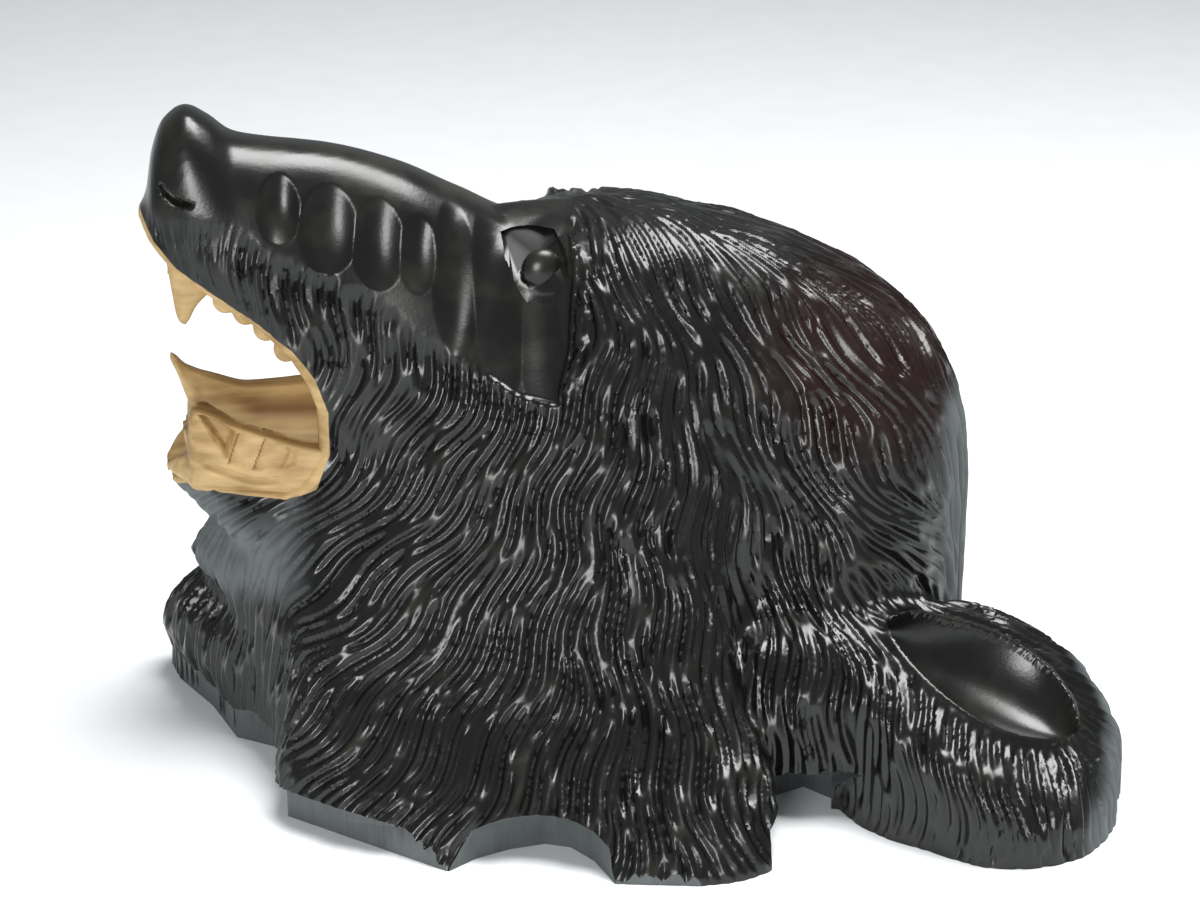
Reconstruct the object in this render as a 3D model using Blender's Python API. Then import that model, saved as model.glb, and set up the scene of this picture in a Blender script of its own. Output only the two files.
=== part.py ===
"""Snarling bear head carved from one block of wood, lying on its flat sawn back.

Lengths are millimetres, turned to metres when the last mesh is made. +X runs
from the throat to the ears, Y across the head and Z up from the sawn back. The
origin is the middle of the underside.
"""

import math
import random

import bmesh
import bpy
import numpy as np
from mathutils import Matrix, Vector
from mathutils.bvhtree import BVHTree
from mathutils.kdtree import KDTree

MM = 0.001

# Mane and crown: a dome over the sawn outline, as seen from above
CROWN_HEIGHT = 209.0
CROWN_REACH = 142.0
RUFF_HALF_WIDTH = 152.0
CHIN_REACH = 160.0
THROAT_REACH = 179.0
NOTCH_REACH = 109.0
HEM_THICKNESS = 3.0
SCOOP_HEIGHT = 20.0
# Wood left under the forms, cut away flat at the end
SPARE_WOOD = 16.0

# Muzzle
NOSE_HEIGHT = 250.0
NOSE_REACH = 166.0
LIP_PROUD = 6.0
LIP_REACH = NOSE_REACH + LIP_PROUD
BROW_HEIGHT = 208.0
NOSE_HALF_WIDTH = 17.0
LIP_HALF_WIDTH = 29.0
CHEEK_HALF_WIDTH = 42.0
FACET_WIDTH = 18.0
FACET_DEPTH = 2.2

# Mouth
MOUTH_CORNER = 110.0
UPPER_LIP_FRONT_HEIGHT = 198.0
UPPER_LIP_BACK_HEIGHT = 152.0
LOWER_LIP_HEIGHT = 112.0
LOWER_LIP_REACH = 165.5
CANINE_LENGTH = 26.0
CANINE_RADIUS = 5.2
MOLAR_HEIGHT = 7.0
MOLAR_LENGTH = 9.5
INCISOR_WIDTH = 5.6
GUM_HEIGHT = 24.0
GUM_HALF_WIDTH = 25.0
TONGUE_HALF_WIDTH = 15.0
TONGUE_TIP_HEIGHT = 157.0

# Ears
EAR_X = 129.0
EAR_Y = 108.5
EAR_HALF_LENGTH = 51.5
FAR_EAR_SHIFT = 7.0
EAR_RIM_HEIGHT = 21.0
EAR_CREST_HEIGHT = 68.0
EAR_FALL = 30.0
BOWL_LENGTH = 80.0
BOWL_WIDTH = 44.0
BOWL_DEPTH = 15.0

# Eyes
EYE_X = -26.5
EYE_Y = 37.0
EYE_Z = 190.5
EYE_RADIUS = 8.0
SOCKET_DEPTH = 6.5
BROW_RISE = 5.5
BROW_RADIUS = 13.0

# Locks of fur, a groove between each two of them
LOCK_SPACING = 12.5
LOCK_DEPTH = 3.4
LOCK_WAVE = 0.35
LOCK_WAVELENGTH = 55.0
FUR_STEP = 1.4

# Fineness of the fused mesh, and the triangles that the solid keeps
VOXEL = 1.6
MELT_ROUNDS = 24
TRIANGLES = 9000

SIDES = (-1.0, 1.0)


def smooth_line(points, where):
    """Value of a smooth line through points (x, y), rising in x, at where."""
    xs = np.array([p[0] for p in points], dtype=float)
    ys = np.array([p[1] for p in points], dtype=float)
    step = np.diff(xs)
    slope = np.diff(ys) / step
    lean = np.empty(len(xs))
    both = slope[:-1] * slope[1:]
    lean[1:-1] = np.where(both > 0, 2 * both / (slope[:-1] + slope[1:] + 1e-12), 0.0)
    lean[0] = slope[0]
    lean[-1] = slope[-1]
    where = np.clip(where, xs[0], xs[-1])
    k = np.clip(np.searchsorted(xs, where) - 1, 0, len(step) - 1)
    t = (where - xs[k]) / step[k]
    a = (1 + 2 * t) * (1 - t) ** 2
    b = t * (1 - t) ** 2
    c = t * t * (3 - 2 * t)
    d = t * t * (t - 1)
    return a * ys[k] + b * step[k] * lean[k] + c * ys[k + 1] + d * step[k] * lean[k + 1]


def ramp(value, low, high):
    """Smooth step from 0 at low to 1 at high."""
    t = np.clip((value - low) / (high - low), 0.0, 1.0)
    return t * t * (3 - 2 * t)


def round_power(value, power):
    return np.sign(value) * np.abs(value) ** power


def mesh_from(vertices, faces):
    mesh = bpy.data.meshes.new("form")
    mesh.from_pydata([tuple(v) for v in vertices], [], faces)
    bm = bmesh.new()
    bm.from_mesh(mesh)
    bmesh.ops.recalc_face_normals(bm, faces=bm.faces)
    bm.to_mesh(mesh)
    bm.free()
    return mesh


def loft(rings):
    """Closed mesh through rings of points, each end closed by a fan."""
    rings = [np.asarray(ring, dtype=float) for ring in rings]
    count = len(rings[0])
    vertices = np.concatenate(rings + [[rings[0].mean(0)], [rings[-1].mean(0)]])
    faces = []
    for k in range(len(rings) - 1):
        low = k * count
        high = low + count
        for i in range(count):
            j = (i + 1) % count
            faces.append((low + i, low + j, high + j, high + i))
    first = len(rings) * count
    last = first - count
    for i in range(count):
        j = (i + 1) % count
        faces.append((j, i, first))
        faces.append((last + i, last + j, first + 1))
    return mesh_from(vertices, faces)


def new_object(name, mesh):
    obj = bpy.data.objects.new(name, mesh)
    bpy.context.scene.collection.objects.link(obj)
    return obj


def applied(obj):
    """Object's evaluated mesh; the object itself is removed."""
    graph = bpy.context.evaluated_depsgraph_get()
    mesh = bpy.data.meshes.new_from_object(obj.evaluated_get(graph))
    bpy.data.objects.remove(obj)
    return mesh


def boolean(mesh, other, operation="DIFFERENCE"):
    body = new_object("body", mesh)
    tool = new_object("tool", other)
    cut = body.modifiers.new("cut", "BOOLEAN")
    cut.operation = operation
    cut.object = tool
    cut.solver = "EXACT"
    result = applied(body)
    bpy.data.objects.remove(tool)
    return result


def joined(meshes):
    """One mesh that holds all the given meshes as loose shells."""
    bm = bmesh.new()
    for mesh in meshes:
        bm.from_mesh(mesh)
    result = bpy.data.meshes.new("joined")
    bm.to_mesh(result)
    bm.free()
    return result


def prism(outline, axis, low, high):
    """Outline extruded between low and high along an axis: 1 for Y, 2 for Z."""
    rings = []
    for level in (low, high):
        ring = []
        for a, b in outline:
            point = [a, b]
            point.insert(axis, level)
            ring.append(point)
        rings.append(ring)
    return loft(rings)


def mane_reach(bearing):
    """Reach of the hem at a bearing in degrees: 0 at the crown's end, 180 at the throat."""
    ruff = RUFF_HALF_WIDTH
    side = smooth_line([
        (0, CROWN_REACH),
        (14, CROWN_REACH),
        (22, CROWN_REACH * 0.97),
        (31, CROWN_REACH * 0.92),
        (41, NOTCH_REACH * 1.11),
        (53, NOTCH_REACH),
        (60, NOTCH_REACH * 0.98),
        (65, NOTCH_REACH * 1.05),
        (72, ruff * 0.98),
        (80, ruff * 1.02),
        (97, ruff * 0.98),
        (108, ruff * 0.96),
        (120, ruff * 1.0),
        (126, ruff * 1.02),
        (133, ruff * 1.06),
        (147, ruff * 1.06),
    ], np.abs(bearing))
    # The throat's foot is turned towards the far side, past a scoop on the near side
    around = np.where(bearing < 0, bearing + 360, bearing)
    throat = THROAT_REACH
    foot = smooth_line([
        (147, ruff * 1.06),
        (153, throat * 0.90),
        (158, throat * 0.95),
        (162, throat),
        (167, throat * 0.96),
        (171, throat * 0.92),
        (176, throat * 0.88),
        (180, throat * 0.85),
        (187, throat * 0.83),
        (194, throat * 0.80),
        (200, throat * 0.80),
        (207, throat * 0.84),
        (213, ruff * 1.06),
    ], around)
    return np.where(np.abs(bearing) > 147, foot, side)


def throat_share(bearing):
    """How much of the throat's steep profile the mane has at a bearing."""
    around = np.where(bearing < 0, bearing + 360, bearing)
    return smooth_line([(130, 0.0), (147, 0.05), (155, 0.15), (161, 0.3), (166, 0.45), (172, 0.8),
                        (180, 1.0), (187, 0.92), (194, 0.75), (201, 0.55), (208, 0.32), (228, 0.0)], around)


def dome_height(out, bearing):
    """Height of the dome as a share of the crown, at a share of the reach."""
    flare = smooth_line([
        (0.0, 1.0),
        (0.15, 0.98),
        (0.25, 0.94),
        (0.34, 0.86),
        (0.45, 0.69),
        (0.55, 0.50),
        (0.65, 0.34),
        (0.75, 0.22),
        (0.85, 0.145),
        (0.94, 0.085),
        (1.0, HEM_THICKNESS / CROWN_HEIGHT),
    ], out)
    crown_end = smooth_line([
        (0.0, 1.0),
        (0.14, 0.985),
        (0.30, 0.955),
        (0.41, 0.932),
        (0.52, 0.901),
        (0.63, 0.866),
        (0.72, 0.832),
        (0.82, 0.786),
        (0.90, 0.73),
        (0.95, 0.67),
        (0.985, 0.59),
        (1.0, 0.48),
    ], out)
    throat = np.maximum(1 - out ** 3.0, 0) ** 0.42
    to_crown = 1 - ramp(np.abs(bearing), 20.0, 76.0)
    to_throat = throat_share(bearing)
    return flare + (crown_end - flare) * to_crown + (throat - flare) * to_throat


def throat_tufts(height, bearing):
    """How far the throat's two tufts stand out, by height above the sawn back."""
    around = np.where(bearing < 0, bearing + 360, bearing)
    narrow = smooth_line([(150, 0.0), (160, 0.6), (168, 1.0), (178, 1.0), (186, 0.4), (194, 0.0)], around)
    return narrow * smooth_line([
        (0, 0.0),
        (12, 2.0),
        (24, 6.5),
        (38, 5.0),
        (49, -6.0),
        (53, -4.0),
        (62, 5.0),
        (74, 1.0),
        (90, -5.0),
        (100, 0.0),
    ], height)


def mane_form():
    bearings = np.arange(-180, 180, 3.0)
    angle = np.radians(bearings)
    reach = mane_reach(bearings)
    ends = np.where(np.cos(angle) > 0, CROWN_REACH, CHIN_REACH)
    plain = ends * np.cos(angle) ** 2 + RUFF_HALF_WIDTH * np.sin(angle) ** 2
    plain = np.maximum(plain, reach)
    rings = [np.stack([reach * np.cos(angle), reach * np.sin(angle), 0 * angle - SPARE_WOOD], 1)]
    for inward in np.linspace(0, 1, 60):
        out = np.full(len(bearings), max(math.cos(inward * math.pi / 2), 0.0001))
        height = CROWN_HEIGHT * dome_height(out, bearings)
        # The notch beside each ear fades towards the top of the dome
        full = reach + (plain - reach) * ramp(1 - out, 0.1, 0.6)
        radius = full * out + throat_tufts(height, bearings) * (out > 0.5)
        rings.append(np.stack([radius * np.cos(angle), radius * np.sin(angle), height], 1))
    return loft(rings)


def muzzle_top(x):
    return smooth_line([
        (-LIP_REACH, NOSE_HEIGHT - 38),
        (-NOSE_REACH - LIP_PROUD * 0.5, NOSE_HEIGHT - 33),
        (-NOSE_REACH, NOSE_HEIGHT - 17),
        (-NOSE_REACH + 5, NOSE_HEIGHT - 5),
        (-NOSE_REACH + 13, NOSE_HEIGHT),
        (-NOSE_REACH + 21, NOSE_HEIGHT - 4),
        (-NOSE_REACH + 30, NOSE_HEIGHT - 11),
        (-100, NOSE_HEIGHT - 17),
        (-75, NOSE_HEIGHT - 25),
        (-53, NOSE_HEIGHT - 36),
        (-30, BROW_HEIGHT - 4),
        (-12, BROW_HEIGHT - 3),
        (10, BROW_HEIGHT - 16),
    ], x)


def muzzle_low(x):
    return smooth_line([
        (-LIP_REACH, UPPER_LIP_FRONT_HEIGHT + 9),
        (-LIP_REACH + 3, UPPER_LIP_FRONT_HEIGHT + 1),
        (-LIP_REACH + 12, UPPER_LIP_FRONT_HEIGHT - 14),
        (-LIP_REACH + 42, UPPER_LIP_FRONT_HEIGHT - 36),
        (-MOUTH_CORNER - 2, UPPER_LIP_BACK_HEIGHT - 24),
        (-MOUTH_CORNER + 15, 90.0),
        (-MOUTH_CORNER + 50, 60.0),
        (10, 60.0),
    ], x)


def muzzle_width(x):
    return smooth_line([
        (-LIP_REACH, NOSE_HALF_WIDTH * 0.4),
        (-NOSE_REACH - LIP_PROUD * 0.5, NOSE_HALF_WIDTH * 0.75),
        (-NOSE_REACH, NOSE_HALF_WIDTH),
        (-NOSE_REACH + 14, LIP_HALF_WIDTH - 5),
        (-125, LIP_HALF_WIDTH),
        (-100, LIP_HALF_WIDTH + 4),
        (-60, CHEEK_HALF_WIDTH),
        (-25, CHEEK_HALF_WIDTH + 3),
        (10, CHEEK_HALF_WIDTH - 8),
    ], x)


def muzzle_form():
    angle = np.radians(np.arange(0, 360, 8))
    side = round_power(np.cos(angle), 0.7)
    rise = round_power(np.sin(angle), 0.7)
    rings = []
    for x in np.concatenate([np.linspace(-LIP_REACH, -145, 12), np.linspace(-140, 10, 26)]):
        top = muzzle_top(x)
        low = muzzle_low(x)
        taper = smooth_line([(-LIP_REACH, 0.2), (-120, 0.3), (-60, 0.3), (0, 0.16)], x)
        width = muzzle_width(x) * side * (1 - taper * rise)
        rings.append(np.stack([0 * angle + x, width, (top + low) / 2 + (top - low) / 2 * rise], 1))
    return loft(rings)


def jaw_form():
    angle = np.radians(np.arange(0, 360, 10))
    side = round_power(np.cos(angle), 0.75)
    rise = round_power(np.sin(angle), 0.75)
    rings = []
    for back in np.linspace(0, 75, 14):
        width = smooth_line([(0, 9), (6, 17), (20, 26), (50, 35), (75, 40)], back)
        low = smooth_line([(0, 104), (8, 97), (16, 88), (40, 66), (75, 50)], back)
        top = LOWER_LIP_HEIGHT + 3
        height = (low + top) / 2 + (top - low) / 2 * rise
        rings.append(np.stack([0 * angle - LOWER_LIP_REACH + back, width * side, height], 1))
    return loft(rings)


def gape_outline():
    """Open mouth in side view."""
    front = -LIP_REACH
    upper = UPPER_LIP_FRONT_HEIGHT
    corner = -MOUTH_CORNER
    return [
        (front - 20, upper + 50),
        (front, upper + 12.5),
        (front + 3.5, upper + 5),
        (front + 11.5, upper - 4.5),
        (front + 26, upper - 15),
        (front + 40, upper - 25),
        (front + 51, upper - 35),
        (corner - 4, UPPER_LIP_BACK_HEIGHT),
        (corner, UPPER_LIP_BACK_HEIGHT - 12),
        (corner, LOWER_LIP_HEIGHT + 12),
        (corner - 5, LOWER_LIP_HEIGHT + 1),
        (corner - 14, LOWER_LIP_HEIGHT - 5),
        (corner - 38, LOWER_LIP_HEIGHT - 3),
        (corner - 48, LOWER_LIP_HEIGHT),
        (-LOWER_LIP_REACH - 1, LOWER_LIP_HEIGHT - 5),
        (front - 20, LOWER_LIP_HEIGHT - 6),
    ]


def outline_depth(outline, x, z):
    """Distance inside a side-view outline, below zero outside it."""
    inside = np.zeros(len(x), dtype=bool)
    nearest = np.full(len(x), 1e9)
    for (ax, az), (bx, bz) in zip(outline, outline[1:] + outline[:1]):
        along = ((x - ax) * (bx - ax) + (z - az) * (bz - az)) / ((bx - ax) ** 2 + (bz - az) ** 2)
        along = np.clip(along, 0, 1)
        nearest = np.minimum(nearest, np.hypot(x - ax - along * (bx - ax), z - az - along * (bz - az)))
        crosses = (az > z) != (bz > z)
        if az != bz:
            inside ^= crosses & (x < ax + (z - az) * (bx - ax) / (bz - az))
    return np.where(inside, nearest, -nearest)


def upper_lip_height(x):
    front = -LIP_REACH
    upper = UPPER_LIP_FRONT_HEIGHT
    return smooth_line([(front, upper + 12.5), (front + 3.5, upper + 5), (front + 11.5, upper - 4.5),
                        (front + 26, upper - 15), (front + 40, upper - 25),
                        (-MOUTH_CORNER - 4, UPPER_LIP_BACK_HEIGHT)], x)


def ball(place, radius, stretch=(1, 1, 1)):
    bm = bmesh.new()
    bmesh.ops.create_uvsphere(bm, u_segments=24, v_segments=16, radius=radius)
    mesh = bpy.data.meshes.new("ball")
    bm.to_mesh(mesh)
    bm.free()
    mesh.transform(Matrix.Translation(place) @ Matrix.Diagonal((*stretch, 1)))
    return mesh


def block(place, size, turn=0.0):
    """Box, leaning in side view by turn degrees."""
    bm = bmesh.new()
    bmesh.ops.create_cube(bm, size=1)
    mesh = bpy.data.meshes.new("block")
    bm.to_mesh(mesh)
    bm.free()
    lean = Matrix.Rotation(math.radians(turn), 4, "Y")
    mesh.transform(Matrix.Translation(place) @ lean @ Matrix.Diagonal((*size, 1)))
    return mesh


def mirrored_ring(x, half):
    """Closed ring at x from half a section of points (y, z), listed from its bottom middle to its top middle."""
    other = [(-y, z) for y, z in half[-2:0:-1]]
    return [(x, y, z) for y, z in half + other]


def tongue_form():
    """Tongue like a boat's prow, arched across, that swells into the gum below it."""
    front = -LIP_REACH + 8.5
    tip = TONGUE_TIP_HEIGHT
    foot_height = LOWER_LIP_HEIGHT + 9
    rings = []
    for back in np.linspace(0, 60, 24):
        ridge = smooth_line([(0, tip), (2, tip - 1.5), (5.5, tip - 5.5), (14.5, tip - 10), (29.5, tip - 15),
                             (45, tip - 14), (60, tip - 12)], back)
        low = smooth_line([(0, tip - 3), (2.5, tip - 8), (5.5, tip - 17), (8, tip - 22),
                           (12, foot_height), (60, foot_height)], back)
        width = TONGUE_HALF_WIDTH * smooth_line([(0, 0.12), (3, 0.4), (8, 0.7), (18, 1.0), (34, 1.25),
                                                 (60, 1.5)], back)
        rise = ridge - low
        rings.append(mirrored_ring(front + back, [
            (0, low),
            (width * 0.7, low),
            (width, low + 0.1 * rise),
            (width * 0.93, low + 0.35 * rise),
            (width * 0.76, low + 0.64 * rise),
            (width * 0.54, low + 0.87 * rise),
            (width * 0.3, low + 0.98 * rise),
            (0, ridge),
        ]))
    return loft(rings)


def gum_form():
    """Gum with the lower teeth on its sides, flush with the jaw below it."""
    lip = LOWER_LIP_HEIGHT
    crown = GUM_HEIGHT
    rings = []
    for back in np.linspace(0, 60, 31):
        top = lip + crown * smooth_line([(0, 0.08), (4, 0.25), (8.2, 0.42), (9.2, 1.0), (11, 1.12),
                                         (27, 0.88), (50, 0.58), (60, 0.5)], back)
        width = GUM_HALF_WIDTH * smooth_line([(0, 0.24), (3, 0.48), (8, 0.76), (9.5, 0.88), (14, 0.95),
                                              (20, 1.0), (35, 1.12), (50, 1.24), (60, 1.32)], back)
        low = lip - smooth_line([(0, 1.5), (4, 3), (12, 7), (60, 10)], back)
        rings.append(mirrored_ring(-LOWER_LIP_REACH - 1.5 + back, [
            (0, low),
            (width * 0.85, low),
            (width, lip + 0.3 * (low - lip)),
            (width - 1.0, (lip + top) / 2),
            (width - 2.5, top - 1),
            (width - 4.0, top),
            (width * 0.5, top),
            (0, top),
        ]))
    return loft(rings)


def upper_canine(side):
    """Broad blade that hangs from the upper lip, its back edge hollow."""
    front = -LIP_REACH + 9
    angle = np.radians(np.arange(0, 360, 24))
    rings = []
    for share in np.linspace(0, 1, 12):
        fore = front + smooth_line([(0, 0), (0.5, 1.6), (0.85, 2.9), (1, 5.0)], share)
        rear = front + smooth_line([(0, 18), (0.5, 17), (0.62, 13.5), (0.75, 10.2), (0.9, 8), (1, 6.6)], share)
        thick = CANINE_RADIUS * smooth_line([(0, 0.88), (0.5, 0.73), (0.9, 0.42), (1, 0.17)], share)
        x = (fore + rear) / 2 + (rear - fore) / 2 * round_power(np.cos(angle), 0.8)
        y = side * (LIP_HALF_WIDTH - 10 + 2 * share) + thick * np.sin(angle)
        rings.append(np.stack([x, y, 0 * x + UPPER_LIP_FRONT_HEIGHT + 1 - CANINE_LENGTH * share], 1))
    return loft(rings)


def mouth_forms():
    """Gum, tongue and upper teeth, all cut from the same block."""
    forms = [tongue_form(), gum_form()]
    first_molar = -LIP_REACH + 30
    for side in SIDES:
        forms.append(upper_canine(side))
        for k in range(4):
            x = first_molar + MOLAR_LENGTH * 0.75 * k
            place = (x, side * (LIP_HALF_WIDTH - 6), upper_lip_height(x) + 2.5)
            forms.append(ball(place, 1.0, (MOLAR_LENGTH * 0.5, MOLAR_LENGTH * 0.35, MOLAR_HEIGHT * 0.75)))
        for k in range(2):
            y = side * INCISOR_WIDTH * (0.55 + 1.1 * k)
            place = (-LIP_REACH + 13 + 1.5 * k, y, UPPER_LIP_FRONT_HEIGHT - 4)
            forms.append(block(place, (4, INCISOR_WIDTH, 2 * MOLAR_HEIGHT), 14))
            y = side * INCISOR_WIDTH * (0.5 + k)
            place = (-LOWER_LIP_REACH + 7.5 + 1.2 * k, y, LOWER_LIP_HEIGHT + GUM_HEIGHT * 0.36)
            forms.append(block(place, (3.5, INCISOR_WIDTH * 0.86, GUM_HEIGHT * 0.42), -6))
    return forms


def lower_teeth(x, z):
    """Depth of the hollow that leaves the lower canine and the molars standing on the gum."""
    lip = LOWER_LIP_HEIGHT
    front = -LOWER_LIP_REACH
    hollow = outline_depth([(front + 11, lip + GUM_HEIGHT + 2), (front + 26, lip + GUM_HEIGHT - 4),
                            (front + 21, lip + GUM_HEIGHT * 0.3)], x, z)
    return np.clip(hollow * 1.3, 0, 4.5)


def ear_middle(side):
    """Middle of an ear, seen from above; the far ear sits a little nearer the brow."""
    return EAR_X - (FAR_EAR_SHIFT if side > 0 else 0.0), side * EAR_Y


def ear_form(side):
    middle_x, middle_y = ear_middle(side)
    turn = np.arange(-180, 180, 8)
    reach = EAR_HALF_LENGTH * smooth_line([
        (-180, 1.02),
        (-163, 0.95),
        (-130, 0.84),
        (-100, 0.95),
        (-81, 0.98),
        (-62, 1.0),
        (-44, 0.97),
        (-11, 0.95),
        (0, 1.02),
        (30, 1.03),
        (60, 0.94),
        (120, 0.88),
        (150, 0.95),
        (180, 1.02),
    ], turn)
    x = reach * np.cos(np.radians(turn))
    y = reach * np.sin(np.radians(turn))
    rings = [np.stack([middle_x + x, middle_y - side * y, 0 * x - SPARE_WOOD], 1)]
    for inset, swell in ((0, -9), (0.02, -5), (0.07, -1.5), (0.16, 1.5), (0.3, 3), (0.6, 3), (0.99, 3)):
        px = x * (1 - inset)
        py = y * (1 - inset)
        across = (py + EAR_HALF_LENGTH) / (2 * EAR_HALF_LENGTH)
        height = EAR_RIM_HEIGHT + (EAR_CREST_HEIGHT - EAR_RIM_HEIGHT) * across + swell
        height = height - EAR_FALL * px / (2 * EAR_HALF_LENGTH)
        rings.append(np.stack([middle_x + px, middle_y - side * py, height], 1))
    return loft(rings)


def ear_roots(side):
    """Swellings where the crown and the mane run into the ear."""
    middle_x, middle_y = ear_middle(side)
    crown = ball((middle_x - 32, middle_y - side * 30, 36), 28, (1.0, 0.95, 1.25))
    mane = ball((NOTCH_REACH * 0.62, side * NOTCH_REACH * 0.75, 30), 36, (1.0, 0.95, 1.15))
    return [crown, mane]


def ear_spot(side):
    """Middle of the ear's bowl, which lies along the ear's slanting top."""
    middle_x, middle_y = ear_middle(side)
    return Spot(side, (middle_x - 3, abs(middle_y) - 5.5, 46), (0.253, 0.412, 0.876), (62, 30, -32))


def fused(shells, voxel):
    body = new_object("body", joined(shells))
    remesh = body.modifiers.new("fuse", "REMESH")
    remesh.mode = "VOXEL"
    remesh.voxel_size = voxel
    return applied(body)


class Surface:
    """Points of a mesh with their normals and neighbours, to be carved."""

    def __init__(self, mesh):
        self.mesh = mesh
        count = len(mesh.vertices)
        points = np.empty(count * 3, dtype=np.float32)
        mesh.vertices.foreach_get("co", points)
        self.points = points.reshape(-1, 3).astype(float)
        edges = np.empty(len(mesh.edges) * 2, dtype=np.int32)
        mesh.edges.foreach_get("vertices", edges)
        self.edges = edges.reshape(-1, 2)
        self.degree = np.bincount(self.edges.ravel(), minlength=count)
        self.update()

    def update(self):
        self.mesh.vertices.foreach_set("co", self.points.astype(np.float32).ravel())
        self.mesh.update()
        normals = np.empty(len(self.points) * 3, dtype=np.float32)
        self.mesh.vertex_normals.foreach_get("vector", normals)
        self.normals = normals.reshape(-1, 3).astype(float)

    def relax(self, share, rounds):
        """Pull each point towards its neighbours' mean, as far as share says."""
        a, b = self.edges.T
        for _ in range(rounds):
            total = np.zeros_like(self.points)
            for axis in range(3):
                total[:, axis] += np.bincount(a, self.points[b, axis], len(self.points))
                total[:, axis] += np.bincount(b, self.points[a, axis], len(self.points))
            mean = total / self.degree[:, None]
            self.points += (mean - self.points) * share[:, None] * 0.6
        self.update()

    def push(self, amount):
        self.points += self.normals * amount[:, None]
        self.update()


def back_of_face(z):
    """Where the smooth face ends behind the eye, by height."""
    return smooth_line([(148, -24), (169, -18), (180, -16.5), (196, -14), (205, -14), (212, -6)], z)


def bare_face(points):
    """Share of each point that lies on the smooth, hairless part of the face."""
    x, y, z = points.T
    fur_line = smooth_line([(-NOSE_REACH, 214), (-140, 212), (-128, 203), (-104, 192), (-85, 182),
                            (-73, 170), (-50, 158), (-35, 151), (-18, 149)], x)
    return ramp(z - fur_line, -1.5, 1.5) * (1 - ramp(x - back_of_face(z), -1.5, 1.5))


def facets(points):
    """Depth of the gouge cuts along the side of the muzzle and down the cheek."""
    x, y, z = points.T
    width = FACET_WIDTH
    cuts = [
        (-121, NOSE_HEIGHT - 34, 0.43 * width, 0.68 * width, 1.1),
        (-103.5, NOSE_HEIGHT - 42, 0.60 * width, 0.88 * width, 1.1),
        (-85.5, NOSE_HEIGHT - 48, 0.54 * width, 0.90 * width, 1.0),
        (-71, NOSE_HEIGHT - 52, 0.42 * width, 0.76 * width, 0.8),
        (-58, NOSE_HEIGHT - 62, 0.46 * width, 1.5 * width, 0.55),
        (-43, NOSE_HEIGHT - 68, 0.52 * width, 1.8 * width, 0.55),
        (-29, NOSE_HEIGHT - 84, 0.44 * width, 1.5 * width, 0.5),
    ]
    depth = 0 * x
    for middle, height, half_width, half_height, share in cuts:
        inside = 1 - ((x - middle) / half_width) ** 2 - ((z - height) / half_height) ** 2
        depth = np.maximum(depth, FACET_DEPTH * share * np.maximum(inside, 0))
    return depth * ramp(np.abs(y), 12.0, 18.0)


# Which way the hair lies, in side view: place x, z and direction along x, z
COMB = [
    (-165, 205, 0.0, -1.0),
    (-140, 190, 0.15, -1.0),
    (-110, 175, 0.15, -1.0),
    (-80, 160, 0.0, -1.0),
    (-50, 145, -0.25, -1.0),
    (-95, 120, -0.35, -1.0),
    (-120, 95, -0.9, -0.55),
    (-60, 110, -0.65, -0.8),
    (-150, 85, -1.0, -0.2),
    (-100, 60, -0.85, -0.6),
    (-150, 40, -1.0, -0.25),
    (-100, 20, -0.7, -0.8),
    (-25, 90, -0.35, -1.0),
    (-50, 30, -0.45, -1.0),
    (-5, 180, 0.15, -1.0),
    (0, 120, 0.0, -1.0),
    (0, 30, 0.0, -1.0),
    (30, 190, 0.8, -0.45),
    (35, 120, 0.1, -1.0),
    (35, 40, 0.05, -1.0),
    (0, 205, 1.0, -0.1),
    (70, 170, 0.8, -0.6),
    (65, 110, 0.35, -1.0),
    (65, 40, 0.3, -1.0),
    (105, 140, 0.7, -0.9),
    (90, 90, 0.6, -0.8),
    (125, 100, 0.2, -1.0),
    (130, 60, 0.8, -0.5),
    (170, 40, 0.5, -1.0),
]


def hair_direction(point):
    weights = 0.0
    along = 0.0
    down = 0.0
    for x, z, dx, dz in COMB:
        near = 1.0 / ((point[0] - x) ** 2 + (point[2] - z) ** 2 + 60.0) ** 2
        length = math.hypot(dx, dz)
        along += near * dx / length
        down += near * dz / length
        weights += near
    return Vector((along / weights, 0.0, down / weights))


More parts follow.
